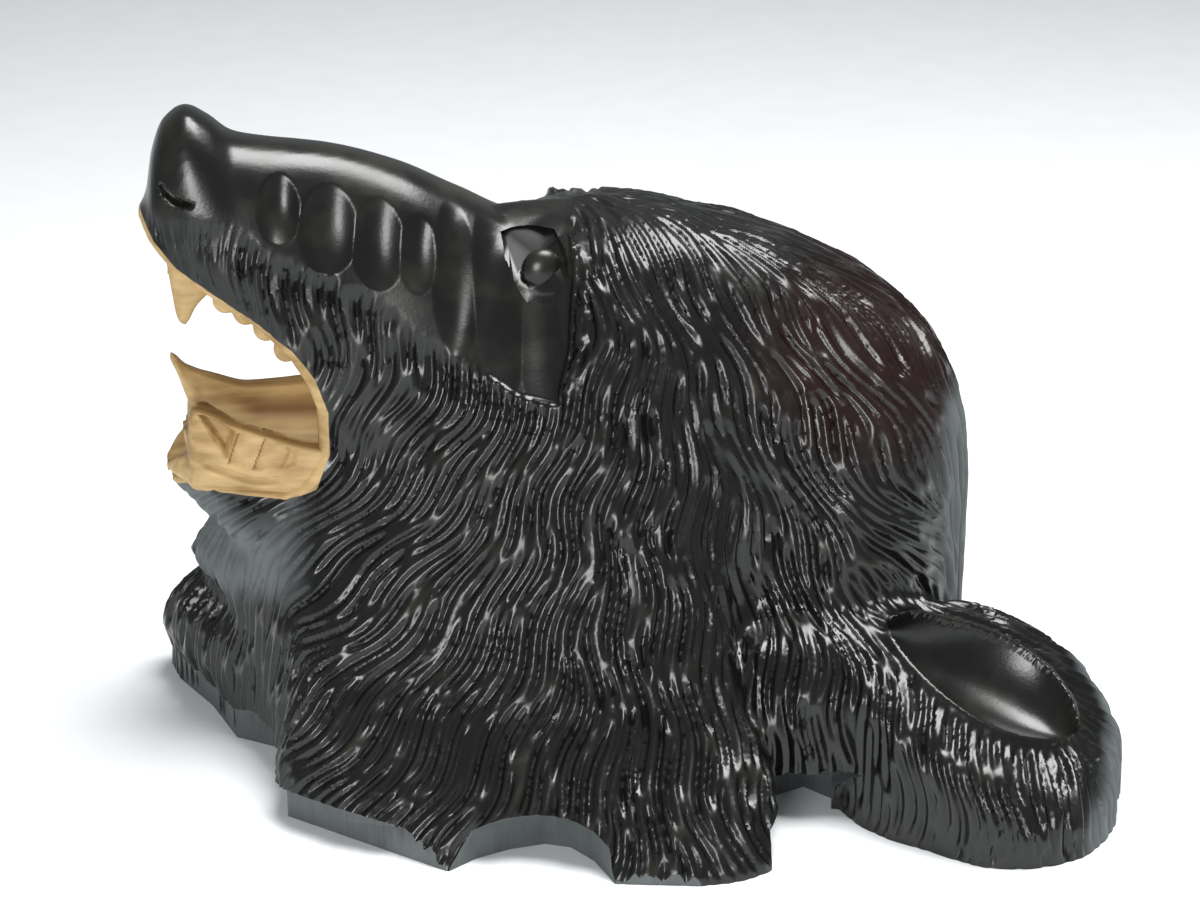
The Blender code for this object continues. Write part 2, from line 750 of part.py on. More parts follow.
def comb_strokes(mesh, mask, spacing, seed):
    """Gouge strokes that follow the hair, spread over the surface by spacing."""
    chance = random.Random(seed)
    tree = BVHTree.FromPolygons([v.co for v in mesh.vertices], [tuple(p.vertices) for p in mesh.polygons])
    order = list(range(0, len(mesh.vertices), 3))
    chance.shuffle(order)
    cell = spacing
    taken = {}
    step = 2.5

    def too_near(point, reach, own):
        key = [int(math.floor(c / cell)) for c in point]
        for i in (-1, 0, 1):
            for j in (-1, 0, 1):
                for k in (-1, 0, 1):
                    for other, owner in taken.get((key[0] + i, key[1] + j, key[2] + k), ()):
                        if owner != own and (other - point).length < reach:
                            return True
        return False

    strokes = []
    for index in order:
        if mask[index] < 0.5:
            continue
        start = mesh.vertices[index].co.copy()
        if too_near(start, spacing, -1):
            continue
        halves = []
        for sense in (-1.0, 1.0):
            point = start.copy()
            path = []
            phase = start.x * 0.05 + start.z * 0.02
            for k in range(int(chance.uniform(26, 60))):
                place, normal, face, gap = tree.find_nearest(point)
                heading = hair_direction(place)
                sideways = normal.cross(heading)
                if sideways.length < 0.05:
                    break
                wave = LOCK_WAVE * math.sin(place.z * 2 * math.pi / LOCK_WAVELENGTH + phase)
                heading = heading + sideways.normalized() * wave
                heading = heading - normal * heading.dot(normal)
                if heading.length < 0.05:
                    break
                point = place + heading.normalized() * (sense * step)
                if too_near(point, spacing * 0.62, len(strokes)):
                    break
                if point.z < -1:
                    break
                path.append(point.copy())
            halves.append(path)
        whole = list(reversed(halves[0])) + [start] + halves[1]
        if len(whole) < 6:
            continue
        for point in whole:
            key = tuple(int(math.floor(c / cell)) for c in point)
            taken.setdefault(key, []).append((point, len(strokes)))
        strokes.append(whole)
    return strokes


def groove_depth(points, strokes, half_width):
    """V grooves along the strokes, fading out at both ends of each."""
    ends = []
    total = sum(len(s) for s in strokes)
    tree = KDTree(total)
    for stroke in strokes:
        for k, point in enumerate(stroke):
            from_end = min(k, len(stroke) - 1 - k)
            tree.insert(point, len(ends))
            ends.append(min(1.0, (from_end + 1) / 5.0))
    tree.balance()
    depth = np.zeros(len(points))
    for i, point in enumerate(points):
        place, index, gap = tree.find(point)
        if gap < half_width:
            depth[i] = (1 - gap / half_width) * ends[index]
    return depth


def melt_and_facet(mesh):
    """Smooth the junctions of the forms, then cut the facets and raise the fur."""
    surface = Surface(mesh)
    x, y, z = surface.points.T
    along = ramp(x, -MOUTH_CORNER + 6, -MOUTH_CORNER + 18) * (1 - ramp(x, 15, 40))
    cheek = along * (1 - ramp(np.abs(y), 70, 90)) * (1 - ramp(z, BROW_HEIGHT - 14, BROW_HEIGHT - 6))
    lip = LOWER_LIP_HEIGHT
    under_jaw = (1 - ramp(x, -MOUTH_CORNER, -MOUTH_CORNER + 20)) * (1 - ramp(z, lip - 14, lip - 6)) * ramp(z, 34, 46)
    root = np.stack([(x - 0.72 * NOTCH_REACH) * 0.8, np.abs(y) - 0.7 * NOTCH_REACH, (z - 40) * 0.8], 1)
    ear = 1 - ramp(np.linalg.norm(root, axis=1), 26, 50)
    surface.relax(np.maximum(np.maximum(cheek, under_jaw), ear), round(MELT_ROUNDS))
    corner = np.stack([x - EYE_X - 12.5, np.abs(y) - EYE_Y, z - EYE_Z - 12.5], 1)
    near_brow = np.linalg.norm(corner, axis=1) / BROW_RADIUS
    surface.push(BROW_RISE * np.maximum(1 - near_brow, 0) * ramp(x, EYE_X, EYE_X + 12.5))
    surface.push(-facets(surface.points) * bare_face(surface.points))
    surface.push(FUR_STEP * (1 - bare_face(surface.points)) * ramp(surface.points[:, 0], -60, -40))
    return surface


class Spot:
    """Place on one side of the head, with directions outwards, along a cut and across it."""

    def __init__(self, side, place, outwards, along):
        mirror = np.array([1.0, side, 1.0])
        self.out = np.array(outwards, dtype=float) * mirror
        self.out /= np.linalg.norm(self.out)
        self.place = np.array(place, dtype=float) * mirror
        self.back = np.array(along, dtype=float) * mirror
        self.back -= self.out * (self.back @ self.out)
        self.back /= np.linalg.norm(self.back)
        self.up = np.cross(self.out, self.back) * -side

    def measure(self, points):
        """Each point's distance along, across and out from the place."""
        gap = points - self.place
        return gap @ self.back, gap @ self.up, gap @ self.out


def dig(surface, spot, depth_at, reach):
    """Lower the points around a spot by what depth_at gives for their place along and across it."""
    back, up, out = spot.measure(surface.points)
    facing = ramp(surface.normals @ spot.out, 0.0, 0.3) * (np.abs(out) < reach)
    surface.points -= np.outer(depth_at(back, up) * facing, spot.out)


def eye_cut(surface, side):
    """Hollow around the eye under the brow's edge, with the eyeball left standing in it."""
    outline = [(EYE_X + dx, EYE_Z + dz) for dx, dz in
               ((-14.5, 12.5), (6.5, 13), (9, 9.5), (9.5, -3.5), (4.5, -8.5), (-4.5, -10), (-10.5, -0.5))]
    x, y, z = surface.points.T
    outwards = y * side
    here = (surface.normals[:, 1] * side > 0.2) & (outwards > 20)
    gap = np.hypot(x - EYE_X, z - EYE_Z)
    top = outwards[here & (gap < 4)].mean() - 0.3
    hollow = np.clip(outline_depth(outline, x, z) * 1.9, 0, SOCKET_DEPTH)
    globe = top - EYE_RADIUS + np.sqrt(np.maximum(EYE_RADIUS ** 2 - gap ** 2, 0))
    dug = np.where(gap < EYE_RADIUS, np.maximum(outwards - hollow, globe), outwards - hollow)
    surface.points[:, 1] = np.where(here & (gap < 30), dug * side, y)


def nostril(back, up):
    """Depth of the nostril's curved slit."""
    bent = up - 0.035 * back ** 2
    inside = 1 - (back / 9.0) ** 2 - (bent / 2.6) ** 2
    return 4.0 * np.maximum(inside, 0) ** 0.7


def ear_bowl(back, up):
    """Depth of the ear's leaf-shaped bowl, with a swollen rim around it."""
    along = np.clip(back / (BOWL_LENGTH / 2), -1, 1)
    width = BOWL_WIDTH / 2 * (1 - along ** 2) ** 0.7 * (1 + 0.2 * along)
    ratio = np.abs(up) / np.maximum(width, 0.01)
    bowl = BOWL_DEPTH * np.maximum(1 - ratio ** 2.2, 0) * (1 - along ** 2) ** 0.35
    rim = 2.2 * np.exp(-(((np.abs(up) - width - 1.2) / 2.2) ** 2)) * (1 - along ** 2) ** 0.5 * (ratio > 1)
    return np.where(np.abs(back) < BOWL_LENGTH / 2, bowl - rim, 0)


def hollows(surface):
    """Eye sockets, nostrils, ear bowls and the hollows beside the lower canines."""
    for side in SIDES:
        eye_cut(surface, side)
        nose = Spot(side, (-NOSE_REACH + 9, NOSE_HALF_WIDTH + 2, NOSE_HEIGHT - 30), (-0.45, 0.89, 0), (1, 0, -0.45))
        dig(surface, nose, nostril, 14)
        dig(surface, ear_spot(side), ear_bowl, 30)
    x, y, z = surface.points.T
    on_gum = (z < LOWER_LIP_HEIGHT + GUM_HEIGHT + 3) & (np.abs(y) > 8) & (surface.normals[:, 1] * y > 0)
    outside = ramp(np.abs(surface.normals[:, 1]), 0.4, 0.7) * on_gum
    surface.points[:, 1] -= np.sign(y) * lower_teeth(x, z) * outside
    surface.update()


def sawn_outline():
    """Outline that the block is sawn to, with its scoops between the tufts."""
    near = [
        (-168, 39),
        (-155, 12),
        (-146, -17),
        (-129, -29),
        (-121, -45),
        (-122, -62),
        (-129, -83),
        (-74, -132),
        (-63, -124),
        (-50, -119),
        (-37, -117),
        (-28, -121),
        (-21, -132),
        (-16, -149),
        (30, -158),
        (41, -150),
        (43, -122),
        (46, -103),
        (54, -93),
        (65, -88),
        (74, -99),
        (72, -105),
        (66, -170),
        (200, -170),
    ]
    far = [(x, -y) for x, y in reversed(near[6:])]
    return near + far + [(-146, 62), (-171, 55)]


def sawn_waste():
    """Wood outside the outline, taken away in a cove that opens out at its top."""
    around = 2 * (THROAT_REACH + EAR_X)
    waste = block((0, 0, SCOOP_HEIGHT / 2 - SPARE_WOOD), (around, around, SCOOP_HEIGHT + 2 * SPARE_WOOD))
    rings = []
    for height, spread in ((-4 * SPARE_WOOD, 1.0), (SCOOP_HEIGHT * 0.6, 1.0),
                           (SCOOP_HEIGHT * 0.9, 1.08), (SCOOP_HEIGHT * 1.3, 1.25)):
        rings.append([(x * spread, y * spread, height) for x, y in sawn_outline()])
    return boolean(waste, loft(rings))


def below_floor():
    around = 2.2 * (THROAT_REACH + EAR_X)
    return block((0, 0, -3 * SPARE_WOOD), (around, around, 6 * SPARE_WOOD))


def clear_scene():
    for obj in list(bpy.data.objects):
        bpy.data.objects.remove(obj)


def wood_material(name, colour, roughness):
    material = bpy.data.materials.new(name)
    material.use_nodes = True
    shader = material.node_tree.nodes["Principled BSDF"]
    shader.inputs["Base Color"].default_value = (*colour, 1)
    shader.inputs["Roughness"].default_value = roughness
    shader.inputs["Metallic"].default_value = 0.0
    return material


def build():
    clear_scene()
    gape = prism(gape_outline(), 1, -90, 90)
    shells = [boolean(form, gape.copy()) for form in (mane_form(), muzzle_form(), jaw_form())]
    shells += mouth_forms()
    for side in SIDES:
        shells.append(ear_form(side))
        shells.extend(ear_roots(side))
    surface = melt_and_facet(fused(shells, VOXEL))
    hollows(surface)
    surface = Surface(fused([surface.mesh], VOXEL))
    x, y, z = surface.points.T
    in_mouth = (x < -MOUTH_CORNER + 2) & (z > LOWER_LIP_HEIGHT - 4) & (z < upper_lip_height(x) + 2)
    furry = (bare_face(surface.points) < 0.5) & ~in_mouth
    for side in SIDES:
        back, up, out = ear_spot(side).measure(surface.points)
        furry &= (ear_bowl(back, up) < 0.4) | (np.abs(out) > 30) | (y * side < 0)
    strokes = comb_strokes(surface.mesh, furry, LOCK_SPACING, 7)
    depth = groove_depth(surface.points, strokes, LOCK_SPACING * 0.42)
    surface.push(-depth * LOCK_DEPTH * furry)
    body = new_object("body", surface.mesh)
    thin = body.modifiers.new("thin", "DECIMATE")
    thin.ratio = TRIANGLES / (2 * len(surface.mesh.polygons))
    mesh = applied(body)
    mesh = boolean(mesh, sawn_waste())
    mesh = boolean(mesh, below_floor())
    points = np.array([v.co for v in mesh.vertices])
    middle = (points.min(0) + points.max(0)) / 2
    mesh.transform(Matrix.Scale(MM, 4) @ Matrix.Translation((-middle[0], -middle[1], 0)))
    head = new_object("bear_head", mesh)
    head.data.materials.clear()
    head.data.materials.append(wood_material("black_lacquered_wood", (0.012, 0.012, 0.010), 0.28))


build()
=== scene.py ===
"""Snarling bear head carved from one block of wood and lacquered black: its looks.

The head is carved again, finer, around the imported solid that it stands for: the same
forms, then the facets, hollows and every lock of fur. Sizes are metres in the panel
and millimetres inside the carving functions, where +X runs from the throat to the
ears, Y across the head and Z up from the sawn back.
"""

import math
import random
from types import SimpleNamespace

import bmesh
import bpy
import numpy as np
from mathutils import Matrix, Vector
from mathutils.kdtree import KDTree


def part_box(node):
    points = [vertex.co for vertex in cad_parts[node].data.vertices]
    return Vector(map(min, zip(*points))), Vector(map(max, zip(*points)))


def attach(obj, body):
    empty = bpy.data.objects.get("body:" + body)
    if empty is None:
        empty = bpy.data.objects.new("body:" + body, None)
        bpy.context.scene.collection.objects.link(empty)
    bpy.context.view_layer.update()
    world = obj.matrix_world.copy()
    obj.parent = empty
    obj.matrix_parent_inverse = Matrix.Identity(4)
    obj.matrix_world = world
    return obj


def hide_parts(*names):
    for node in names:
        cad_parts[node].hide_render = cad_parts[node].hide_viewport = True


bl_info = {
    "name": "Carved bear head",
    "version": (1, 0, 0),
    "blender": (4, 5, 0),
    "location": "3D View > Sidebar > Bear Head",
    "description": "Carves a lacquered wooden bear head with its fur, mouth and eyes",
    "category": "Add Mesh",
}

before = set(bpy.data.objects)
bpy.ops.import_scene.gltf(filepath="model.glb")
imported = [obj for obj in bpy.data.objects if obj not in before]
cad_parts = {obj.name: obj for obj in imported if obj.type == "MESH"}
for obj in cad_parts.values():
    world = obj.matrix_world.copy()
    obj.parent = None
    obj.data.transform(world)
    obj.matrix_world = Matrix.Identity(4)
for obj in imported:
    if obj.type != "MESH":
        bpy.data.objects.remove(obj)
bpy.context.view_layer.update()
NODE = "bear_head"
LOW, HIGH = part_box(NODE)
MM = 0.001
SIDES = (-1.0, 1.0)

# The photograph's view of the head: azimuth, elevation, distance and lens
VIEW_AZIMUTH = math.radians(-8.2)
VIEW_ELEVATION = math.radians(22.0)
VIEW_DISTANCE = 1130.0
VIEW_HEIGHT = 106.0
VIEW_LENS = 87.0
ACROSS = np.array([math.cos(VIEW_AZIMUTH), math.sin(VIEW_AZIMUTH), 0.0])
TOWARDS = np.array([
    math.sin(VIEW_AZIMUTH) * math.cos(VIEW_ELEVATION),
    -math.cos(VIEW_AZIMUTH) * math.cos(VIEW_ELEVATION),
    math.sin(VIEW_ELEVATION),
])
UPWARDS = np.cross(TOWARDS, ACROSS)


def length(name, description, default):
    return bpy.props.FloatProperty(name=name, description=description, default=default, min=0.0,
                                   unit="LENGTH")


def colour(name, description, default):
    return bpy.props.FloatVectorProperty(name=name, description=description, default=default,
                                         subtype="COLOR", size=3, min=0.0, max=1.0)


def linear(code):
    """Linear colour of an sRGB hex code."""
    parts = [int(code[k:k + 2], 16) / 255 for k in (1, 3, 5)]
    return tuple(c / 12.92 if c <= 0.04045 else ((c + 0.055) / 1.055) ** 2.4 for c in parts)


class HeadSizes(bpy.types.PropertyGroup):
    nose_height: length("Nose height", "Top of the nose above the sawn back", round(HIGH.z, 3))
    nose_reach: length("Nose reach", "From the brow forward to the nose's front", 0.166)
    nose_half_width: length("Nose half width", "Half the nose's width", 0.017)
    lip_reach: length("Lip reach", "From the brow forward to the upper lip", 0.172)
    lip_half_width: length("Lip half width", "Half the muzzle's width at the lips", 0.029)
    cheek_half_width: length("Cheek half width", "Half the face's width below the eyes", 0.042)
    brow_height: length("Brow height", "Top of the brow above the sawn back", 0.208)
    crown_height: length("Crown height", "Top of the crown above the sawn back", 0.209)
    crown_reach: length("Crown reach", "From the brow back to the crown's end wall", 0.142)
    ruff_half_width: length("Ruff half width", "Half the mane's width at the hem", 0.152)
    chin_reach: length("Chin reach", "From the brow forward to the throat under the jaw", 0.160)
    throat_reach: length("Throat reach", "From the brow forward to the throat's foot", 0.179)
    notch_reach: length("Notch reach", "Depth of the notch between mane and ear", 0.109)
    hem_thickness: length("Hem thickness", "Height of the hem where the fur meets the sawn back", 0.003)
    scoop_height: length("Scoop height", "Height of the scoops sawn into the hem", 0.020)
    ear_x: length("Ear place", "From the brow back to the ear's middle", 0.129)
    ear_y: length("Ear spread", "From the head's middle plane out to the ear's middle", 0.1085)
    ear_half_length: length("Ear half length", "Half the ear's length from above", 0.0515)
    far_ear_shift: length("Far ear shift", "How much nearer the brow the far ear was carved", 0.007)
    ear_rim_height: length("Ear rim height", "Height of the ear's outer wall", 0.021)
    ear_crest_height: length("Ear crest height", "Height of the ear's inner edge", 0.068)
    ear_fall: length("Ear fall", "How much lower the ear's back end is than its front end", 0.030)
    bowl_length: length("Ear bowl length", "Length of the ear's leaf-shaped bowl", 0.080)
    bowl_width: length("Ear bowl width", "Width of the ear's bowl", 0.044)
    bowl_depth: length("Ear bowl depth", "Depth of the ear's bowl", 0.015)
    eye_front: length("Eye place", "From the brow forward to the eye's middle", 0.0255)
    eye_height: length("Eye height", "Height of the eye's middle above the sawn back", 0.191)
    eye_radius: length("Eye radius", "Radius of the eyeball", 0.0084)
    socket_depth: length("Socket depth", "Depth of the hollow around the eye", 0.0085)
    facet_width: length("Facet width", "Width of one gouge cut on the muzzle", 0.018)
    facet_depth: length("Facet depth", "Depth of one gouge cut on the muzzle", 0.0034)
    grain: length("Mesh fineness", "Size of the fused form's faces before they are halved", 0.0017)


class MouthSizes(bpy.types.PropertyGroup):
    corner: length("Mouth corner", "From the brow forward to the mouth's corner", 0.110)
    upper_front: length("Upper lip, front", "Height of the upper lip's edge at the front", 0.198)
    upper_back: length("Upper lip, back", "Height of the upper lip's edge at the corner", 0.152)
    lower_lip: length("Lower lip", "Height of the lower lip's edge", 0.112)
    lower_reach: length("Lower lip reach", "From the brow forward to the lower lip", 0.1655)
    canine_length: length("Canine length", "Length of a canine tooth", 0.026)
    canine_radius: length("Canine radius", "Radius of a canine at its root", 0.0052)
    molar_length: length("Molar length", "Length of a molar along the jaw", 0.0095)
    molar_height: length("Molar height", "Height of a molar's crown", 0.007)
    incisor_width: length("Incisor width", "Width of a front tooth", 0.0056)
    gum_height: length("Gum height", "Height of the lower canine's tip above the lip", 0.024)
    gum_half_width: length("Gum half width", "Half the lower gum's width", 0.025)
    tongue_half_width: length("Tongue half width", "Half the tongue's width", 0.015)
    tongue_tip: length("Tongue tip", "Height of the tongue's tip", 0.1555)
    grain: length("Mesh fineness", "Size of the faces of the fused tongue, gum and teeth", 0.0006)


class FurSizes(bpy.types.PropertyGroup):
    lock_spacing: length("Lock spacing", "Width of a lock on the mane", 0.0044)
    crown_spacing: length("Crown spacing", "Width of a lock on the crown", 0.0034)
    lip_spacing: length("Lip spacing", "Width of a lock on the lips", 0.0025)
    groove_depth: length("Groove depth", "Depth of the cut between two locks of the mane", 0.0025)
    clump_depth: length("Clump depth", "Depth of the cut between two bundles of locks", 0.0016)
    clump_locks: bpy.props.FloatProperty(name="Locks to a clump", default=3.2, min=1.0,
                                         description="How many locks lie side by side in a bundle")
    fur_step: length("Fur step", "How far the fur stands out from the bare face", 0.0014)
    wave_length: length("Wave length", "Length of one wave of a lock", 0.046)
    wave_lean: bpy.props.FloatProperty(name="Wave lean", description="How far the waves lean to each side",
                                       default=math.radians(15), subtype="ANGLE")
    seed: bpy.props.IntProperty(name="Seed", default=7,
                                description="Another seed lays the locks another way")


class Finish(bpy.types.PropertyGroup):
    lacquer: colour("Lacquer", "Black lacquer over the fur and face", linear("#0b0c0a"))
    # The ridge colour stands for thinned lacquer and also for painted sheen on the locks' tops
    worn_and_sheen: colour("Worn ridge", "Wood that shows through where the lacquer is thin", linear("#2c2b1e"))
    warm: colour("Warm tint", "Red-brown stain under the lacquer of the crown", linear("#1c0c0a"))
    stain: colour("Stain", "Matt grey-black stain of the sawn and chiselled faces", linear("#5c6162"))
    wood: colour("Bare wood", "Bare wood of the mouth", linear("#c4a673"))
    wood_dark: colour("Dark grain", "Darker grain of the bare wood", linear("#9a7b4c"))
    # Painted shade: brown darkening in the hollow along the tongue's side, where the upper jaw shades it
    wood_brown: colour("Brown shade", "Brown shade rubbed into the tongue's side", linear("#6d4526"))


class Stage(bpy.types.PropertyGroup):
    floor: colour("Floor", "Pale floor and backdrop", linear("#eceff0"))
    key: bpy.props.FloatProperty(name="Ceiling light", description="Power of the large lamp overhead",
                                 default=34.0, min=0.0, unit="POWER")
    fill: bpy.props.FloatProperty(name="Window light", description="Power of the lamp at the front left",
                                  default=12.0, min=0.0, unit="POWER")
    sky: bpy.props.FloatProperty(name="Room light", description="Strength of the room's light",
                                 default=0.3, min=0.0)


def millimetres(group):
    """The lengths of a property group in millimetres, and its other values as they are."""
    values = {}
    for prop in group.bl_rna.properties:
        if prop.identifier in ("rna_type", "name"):
            continue
        value = getattr(group, prop.identifier)
        values[prop.identifier] = value / MM if getattr(prop, "unit", "NONE") == "LENGTH" else value
    return SimpleNamespace(**values)


# Curves and small meshes

def smooth_line(points, where):
    """Value of a smooth line through points (x, y), rising in x, at where."""
    xs = np.array([p[0] for p in points], dtype=float)
    ys = np.array([p[1] for p in points], dtype=float)
    step = np.diff(xs)
    slope = np.diff(ys) / step
    lean = np.empty(len(xs))
    both = slope[:-1] * slope[1:]
    lean[1:-1] = np.where(both > 0, 2 * both / (slope[:-1] + slope[1:] + 1e-12), 0.0)
    lean[0] = slope[0]
    lean[-1] = slope[-1]
    where = np.clip(where, xs[0], xs[-1])
    k = np.clip(np.searchsorted(xs, where) - 1, 0, len(step) - 1)
    t = (where - xs[k]) / step[k]
    a = (1 + 2 * t) * (1 - t) ** 2
    b = t * (1 - t) ** 2
    c = t * t * (3 - 2 * t)
    d = t * t * (t - 1)
    return a * ys[k] + b * step[k] * lean[k] + c * ys[k + 1] + d * step[k] * lean[k + 1]


def ramp(value, low, high):
    """Smooth step from 0 at low to 1 at high."""
    t = np.clip((value - low) / (high - low), 0.0, 1.0)
    return t * t * (3 - 2 * t)


def round_power(value, power):
    return np.sign(value) * np.abs(value) ** power


def mesh_from(vertices, faces):
    mesh = bpy.data.meshes.new("form")
    mesh.from_pydata([tuple(v) for v in vertices], [], faces)
    bm = bmesh.new()
    bm.from_mesh(mesh)
    bmesh.ops.recalc_face_normals(bm, faces=bm.faces)
    bm.to_mesh(mesh)
    bm.free()
    return mesh


def loft(rings):
    """Closed mesh through rings of points, each end closed by a fan."""
    rings = [np.asarray(ring, dtype=float) for ring in rings]
    count = len(rings[0])
    vertices = np.concatenate(rings + [[rings[0].mean(0)], [rings[-1].mean(0)]])
    faces = []
    for k in range(len(rings) - 1):
        low = k * count
        high = low + count
        for i in range(count):
            j = (i + 1) % count
            faces.append((low + i, low + j, high + j, high + i))
    first = len(rings) * count
    last = first - count
    for i in range(count):
        j = (i + 1) % count
        faces.append((j, i, first))
        faces.append((last + i, last + j, first + 1))
    return mesh_from(vertices, faces)


def new_object(name, mesh):
    obj = bpy.data.objects.new(name, mesh)
    bpy.context.scene.collection.objects.link(obj)
    return obj


def evaluated_mesh(obj):
    """New mesh of an object with its modifiers applied."""
    graph = bpy.context.evaluated_depsgraph_get()
    return bpy.data.meshes.new_from_object(obj.evaluated_get(graph), preserve_all_data_layers=True,
                                           depsgraph=graph)


def applied(obj):
    """Object's evaluated mesh; the object itself is removed."""
    mesh = evaluated_mesh(obj)
    bpy.data.objects.remove(obj)
    return mesh


def boolean(mesh, other, solver="EXACT", operation="DIFFERENCE"):
    """Mesh with the other mesh cut out of it, or added to it."""
    body = new_object("body", mesh)
    tool = new_object("tool", other)
    cut = body.modifiers.new("cut", "BOOLEAN")
    cut.operation = operation
    cut.object = tool
    cut.solver = solver
    cut.material_mode = "TRANSFER"
    result = applied(body)
    bpy.data.objects.remove(tool)
    return result


def joined(meshes):
    """One mesh that holds all the given meshes as loose shells."""
    bm = bmesh.new()
    for mesh in meshes:
        bm.from_mesh(mesh)
    result = bpy.data.meshes.new("joined")
    bm.to_mesh(result)
    bm.free()
    return result


def prism(outline, axis, low, high):
    """Outline extruded between low and high along an axis: 1 for Y, 2 for Z."""
    rings = []
    for level in (low, high):
        ring = []
        for a, b in outline:
            point = [a, b]
            point.insert(axis, level)
            ring.append(point)
        rings.append(ring)
    return loft(rings)


def coarseness():
    """How many times larger the faces of a trial run are."""
    return 1.0


def fused(shells, voxel):
    """The shells melted into one skin of even faces."""
    body = new_object("body", joined(shells))
    remesh = body.modifiers.new("fuse", "REMESH")
    remesh.mode = "VOXEL"
    remesh.voxel_size = voxel
    return applied(body)


def halved(mesh):
    """The mesh smoothed, with each side of its faces cut in two."""
    body = new_object("body", mesh)
    finer = body.modifiers.new("finer", "SUBSURF")
    finer.levels = 1
    finer.render_levels = 1
    return applied(body)


# The head's large forms

def mane_reach(s, bearing):
    """Reach of the hem at a bearing in degrees: 0 at the crown's end, 180 at the throat."""
    ruff = s.ruff_half_width
    side = smooth_line([
        (0, s.crown_reach),
        (14, s.crown_reach),
        (22, s.crown_reach * 0.97),
        (31, s.crown_reach * 0.92),
        (41, s.notch_reach * 1.11),
        (53, s.notch_reach),
        (60, s.notch_reach * 0.98),
        (65, s.notch_reach * 1.05),
        (72, ruff * 0.98),
        (80, ruff * 1.02),
        (97, ruff * 0.98),
        (108, ruff * 0.96),
        (120, ruff * 1.0),
        (126, ruff * 1.02),
        (133, ruff * 1.06),
        (147, ruff * 1.06),
    ], np.abs(bearing))
    # The throat's foot is turned towards the far side, past a scoop on the near side
    around = np.where(bearing < 0, bearing + 360, bearing)
    throat = s.throat_reach
    foot = smooth_line([
        (147, ruff * 1.06),
        (153, throat * 0.90),
        (158, throat * 0.95),
        (162, throat),
        (167, throat * 0.96),
        (171, throat * 0.92),
        (176, throat * 0.88),
        (180, throat * 0.85),
        (187, throat * 0.83),
        (194, throat * 0.80),
        (200, throat * 0.80),
        (207, throat * 0.84),
        (213, ruff * 1.06),
    ], around)
    return np.where(np.abs(bearing) > 147, foot, side)


def throat_share(bearing):
    """How much of the throat's steep profile the mane has at a bearing."""
    around = np.where(bearing < 0, bearing + 360, bearing)
    return smooth_line([(130, 0.0), (147, 0.05), (155, 0.15), (161, 0.3), (166, 0.45), (172, 0.8),
                        (180, 1.0), (187, 0.92), (194, 0.75), (201, 0.55), (208, 0.32), (228, 0.0)], around)


def dome_height(s, out, bearing):
    """Height of the dome as a share of the crown, at a share of the reach."""
    flare = smooth_line([
        (0.0, 1.0),
        (0.15, 0.98),
        (0.25, 0.94),
        (0.34, 0.86),
        (0.45, 0.69),
        (0.55, 0.50),
        (0.65, 0.34),
        (0.75, 0.22),
        (0.85, 0.145),
        (0.94, 0.085),
        (1.0, s.hem_thickness / s.crown_height),
    ], out)
    crown_end = smooth_line([
        (0.0, 1.0),
        (0.14, 0.985),
        (0.30, 0.955),
        (0.41, 0.932),
        (0.52, 0.901),
        (0.63, 0.866),
        (0.72, 0.832),
        (0.82, 0.786),
        (0.90, 0.73),
        (0.95, 0.67),
        (0.985, 0.59),
        (1.0, 0.48),
    ], out)
    throat = np.maximum(1 - out ** 3.0, 0) ** 0.42
    to_crown = 1 - ramp(np.abs(bearing), 20.0, 76.0)
    to_throat = throat_share(bearing)
    return flare + (crown_end - flare) * to_crown + (throat - flare) * to_throat


def throat_tufts(height, bearing):
    """How far the throat's two tufts stand out, by height above the sawn back."""
    around = np.where(bearing < 0, bearing + 360, bearing)
    narrow = smooth_line([(150, 0.0), (160, 0.6), (168, 1.0), (178, 1.0), (186, 0.4), (194, 0.0)], around)
    return narrow * smooth_line([
        (0, 0.0),
        (12, 2.0),
        (24, 6.5),
        (38, 5.0),
        (49, -6.0),
        (53, -4.0),
        (62, 5.0),
        (74, 1.0),
        (90, -5.0),
        (100, 0.0),
    ], height)


# Wood left under the forms, cut away flat at the end
SPARE_WOOD = 16.0


def mane_form(s):
    bearings = np.arange(-180, 180, 1.0)
    angle = np.radians(bearings)
    reach = mane_reach(s, bearings)
    ends = np.where(np.cos(angle) > 0, s.crown_reach, s.chin_reach)
    plain = ends * np.cos(angle) ** 2 + s.ruff_half_width * np.sin(angle) ** 2
    plain = np.maximum(plain, reach)
    rings = [np.stack([reach * np.cos(angle), reach * np.sin(angle), 0 * angle - SPARE_WOOD], 1)]
    for inward in np.linspace(0, 1, 120):
        out = np.full(len(bearings), max(math.cos(inward * math.pi / 2), 0.0001))
        height = s.crown_height * dome_height(s, out, bearings)
        # The notch beside each ear fades towards the top of the dome
        full = reach + (plain - reach) * ramp(1 - out, 0.1, 0.6)
        radius = full * out + throat_tufts(height, bearings) * (out > 0.5)
        rings.append(np.stack([radius * np.cos(angle), radius * np.sin(angle), height], 1))
    return loft(rings)


def muzzle_top(s, x):
    nose = s.nose_height
    front = -s.nose_reach
    return smooth_line([
        (-s.lip_reach, nose - 38),
        ((front - s.lip_reach) / 2, nose - 33),
        (front, nose - 17),
        (front + 5, nose - 5),
        (front + 13, nose),
        (front + 21, nose - 4),
        (front + 30, nose - 11),
        (-100, nose - 17),
        (-75, nose - 25),
        (-53, nose - 36),
        (-30, s.brow_height - 4),
        (-12, s.brow_height - 3),
        (10, s.brow_height - 16),
    ], x)


def muzzle_low(s, m, x):
    front = -s.lip_reach
    return smooth_line([
        (front, m.upper_front + 9),
        (front + 3, m.upper_front + 1),
        (front + 12, m.upper_front - 14),
        (front + 42, m.upper_front - 36),
        (-m.corner - 2, m.upper_back - 24),
        (-m.corner + 15, 90.0),
        (-m.corner + 50, 60.0),
        (10, 60.0),
    ], x)


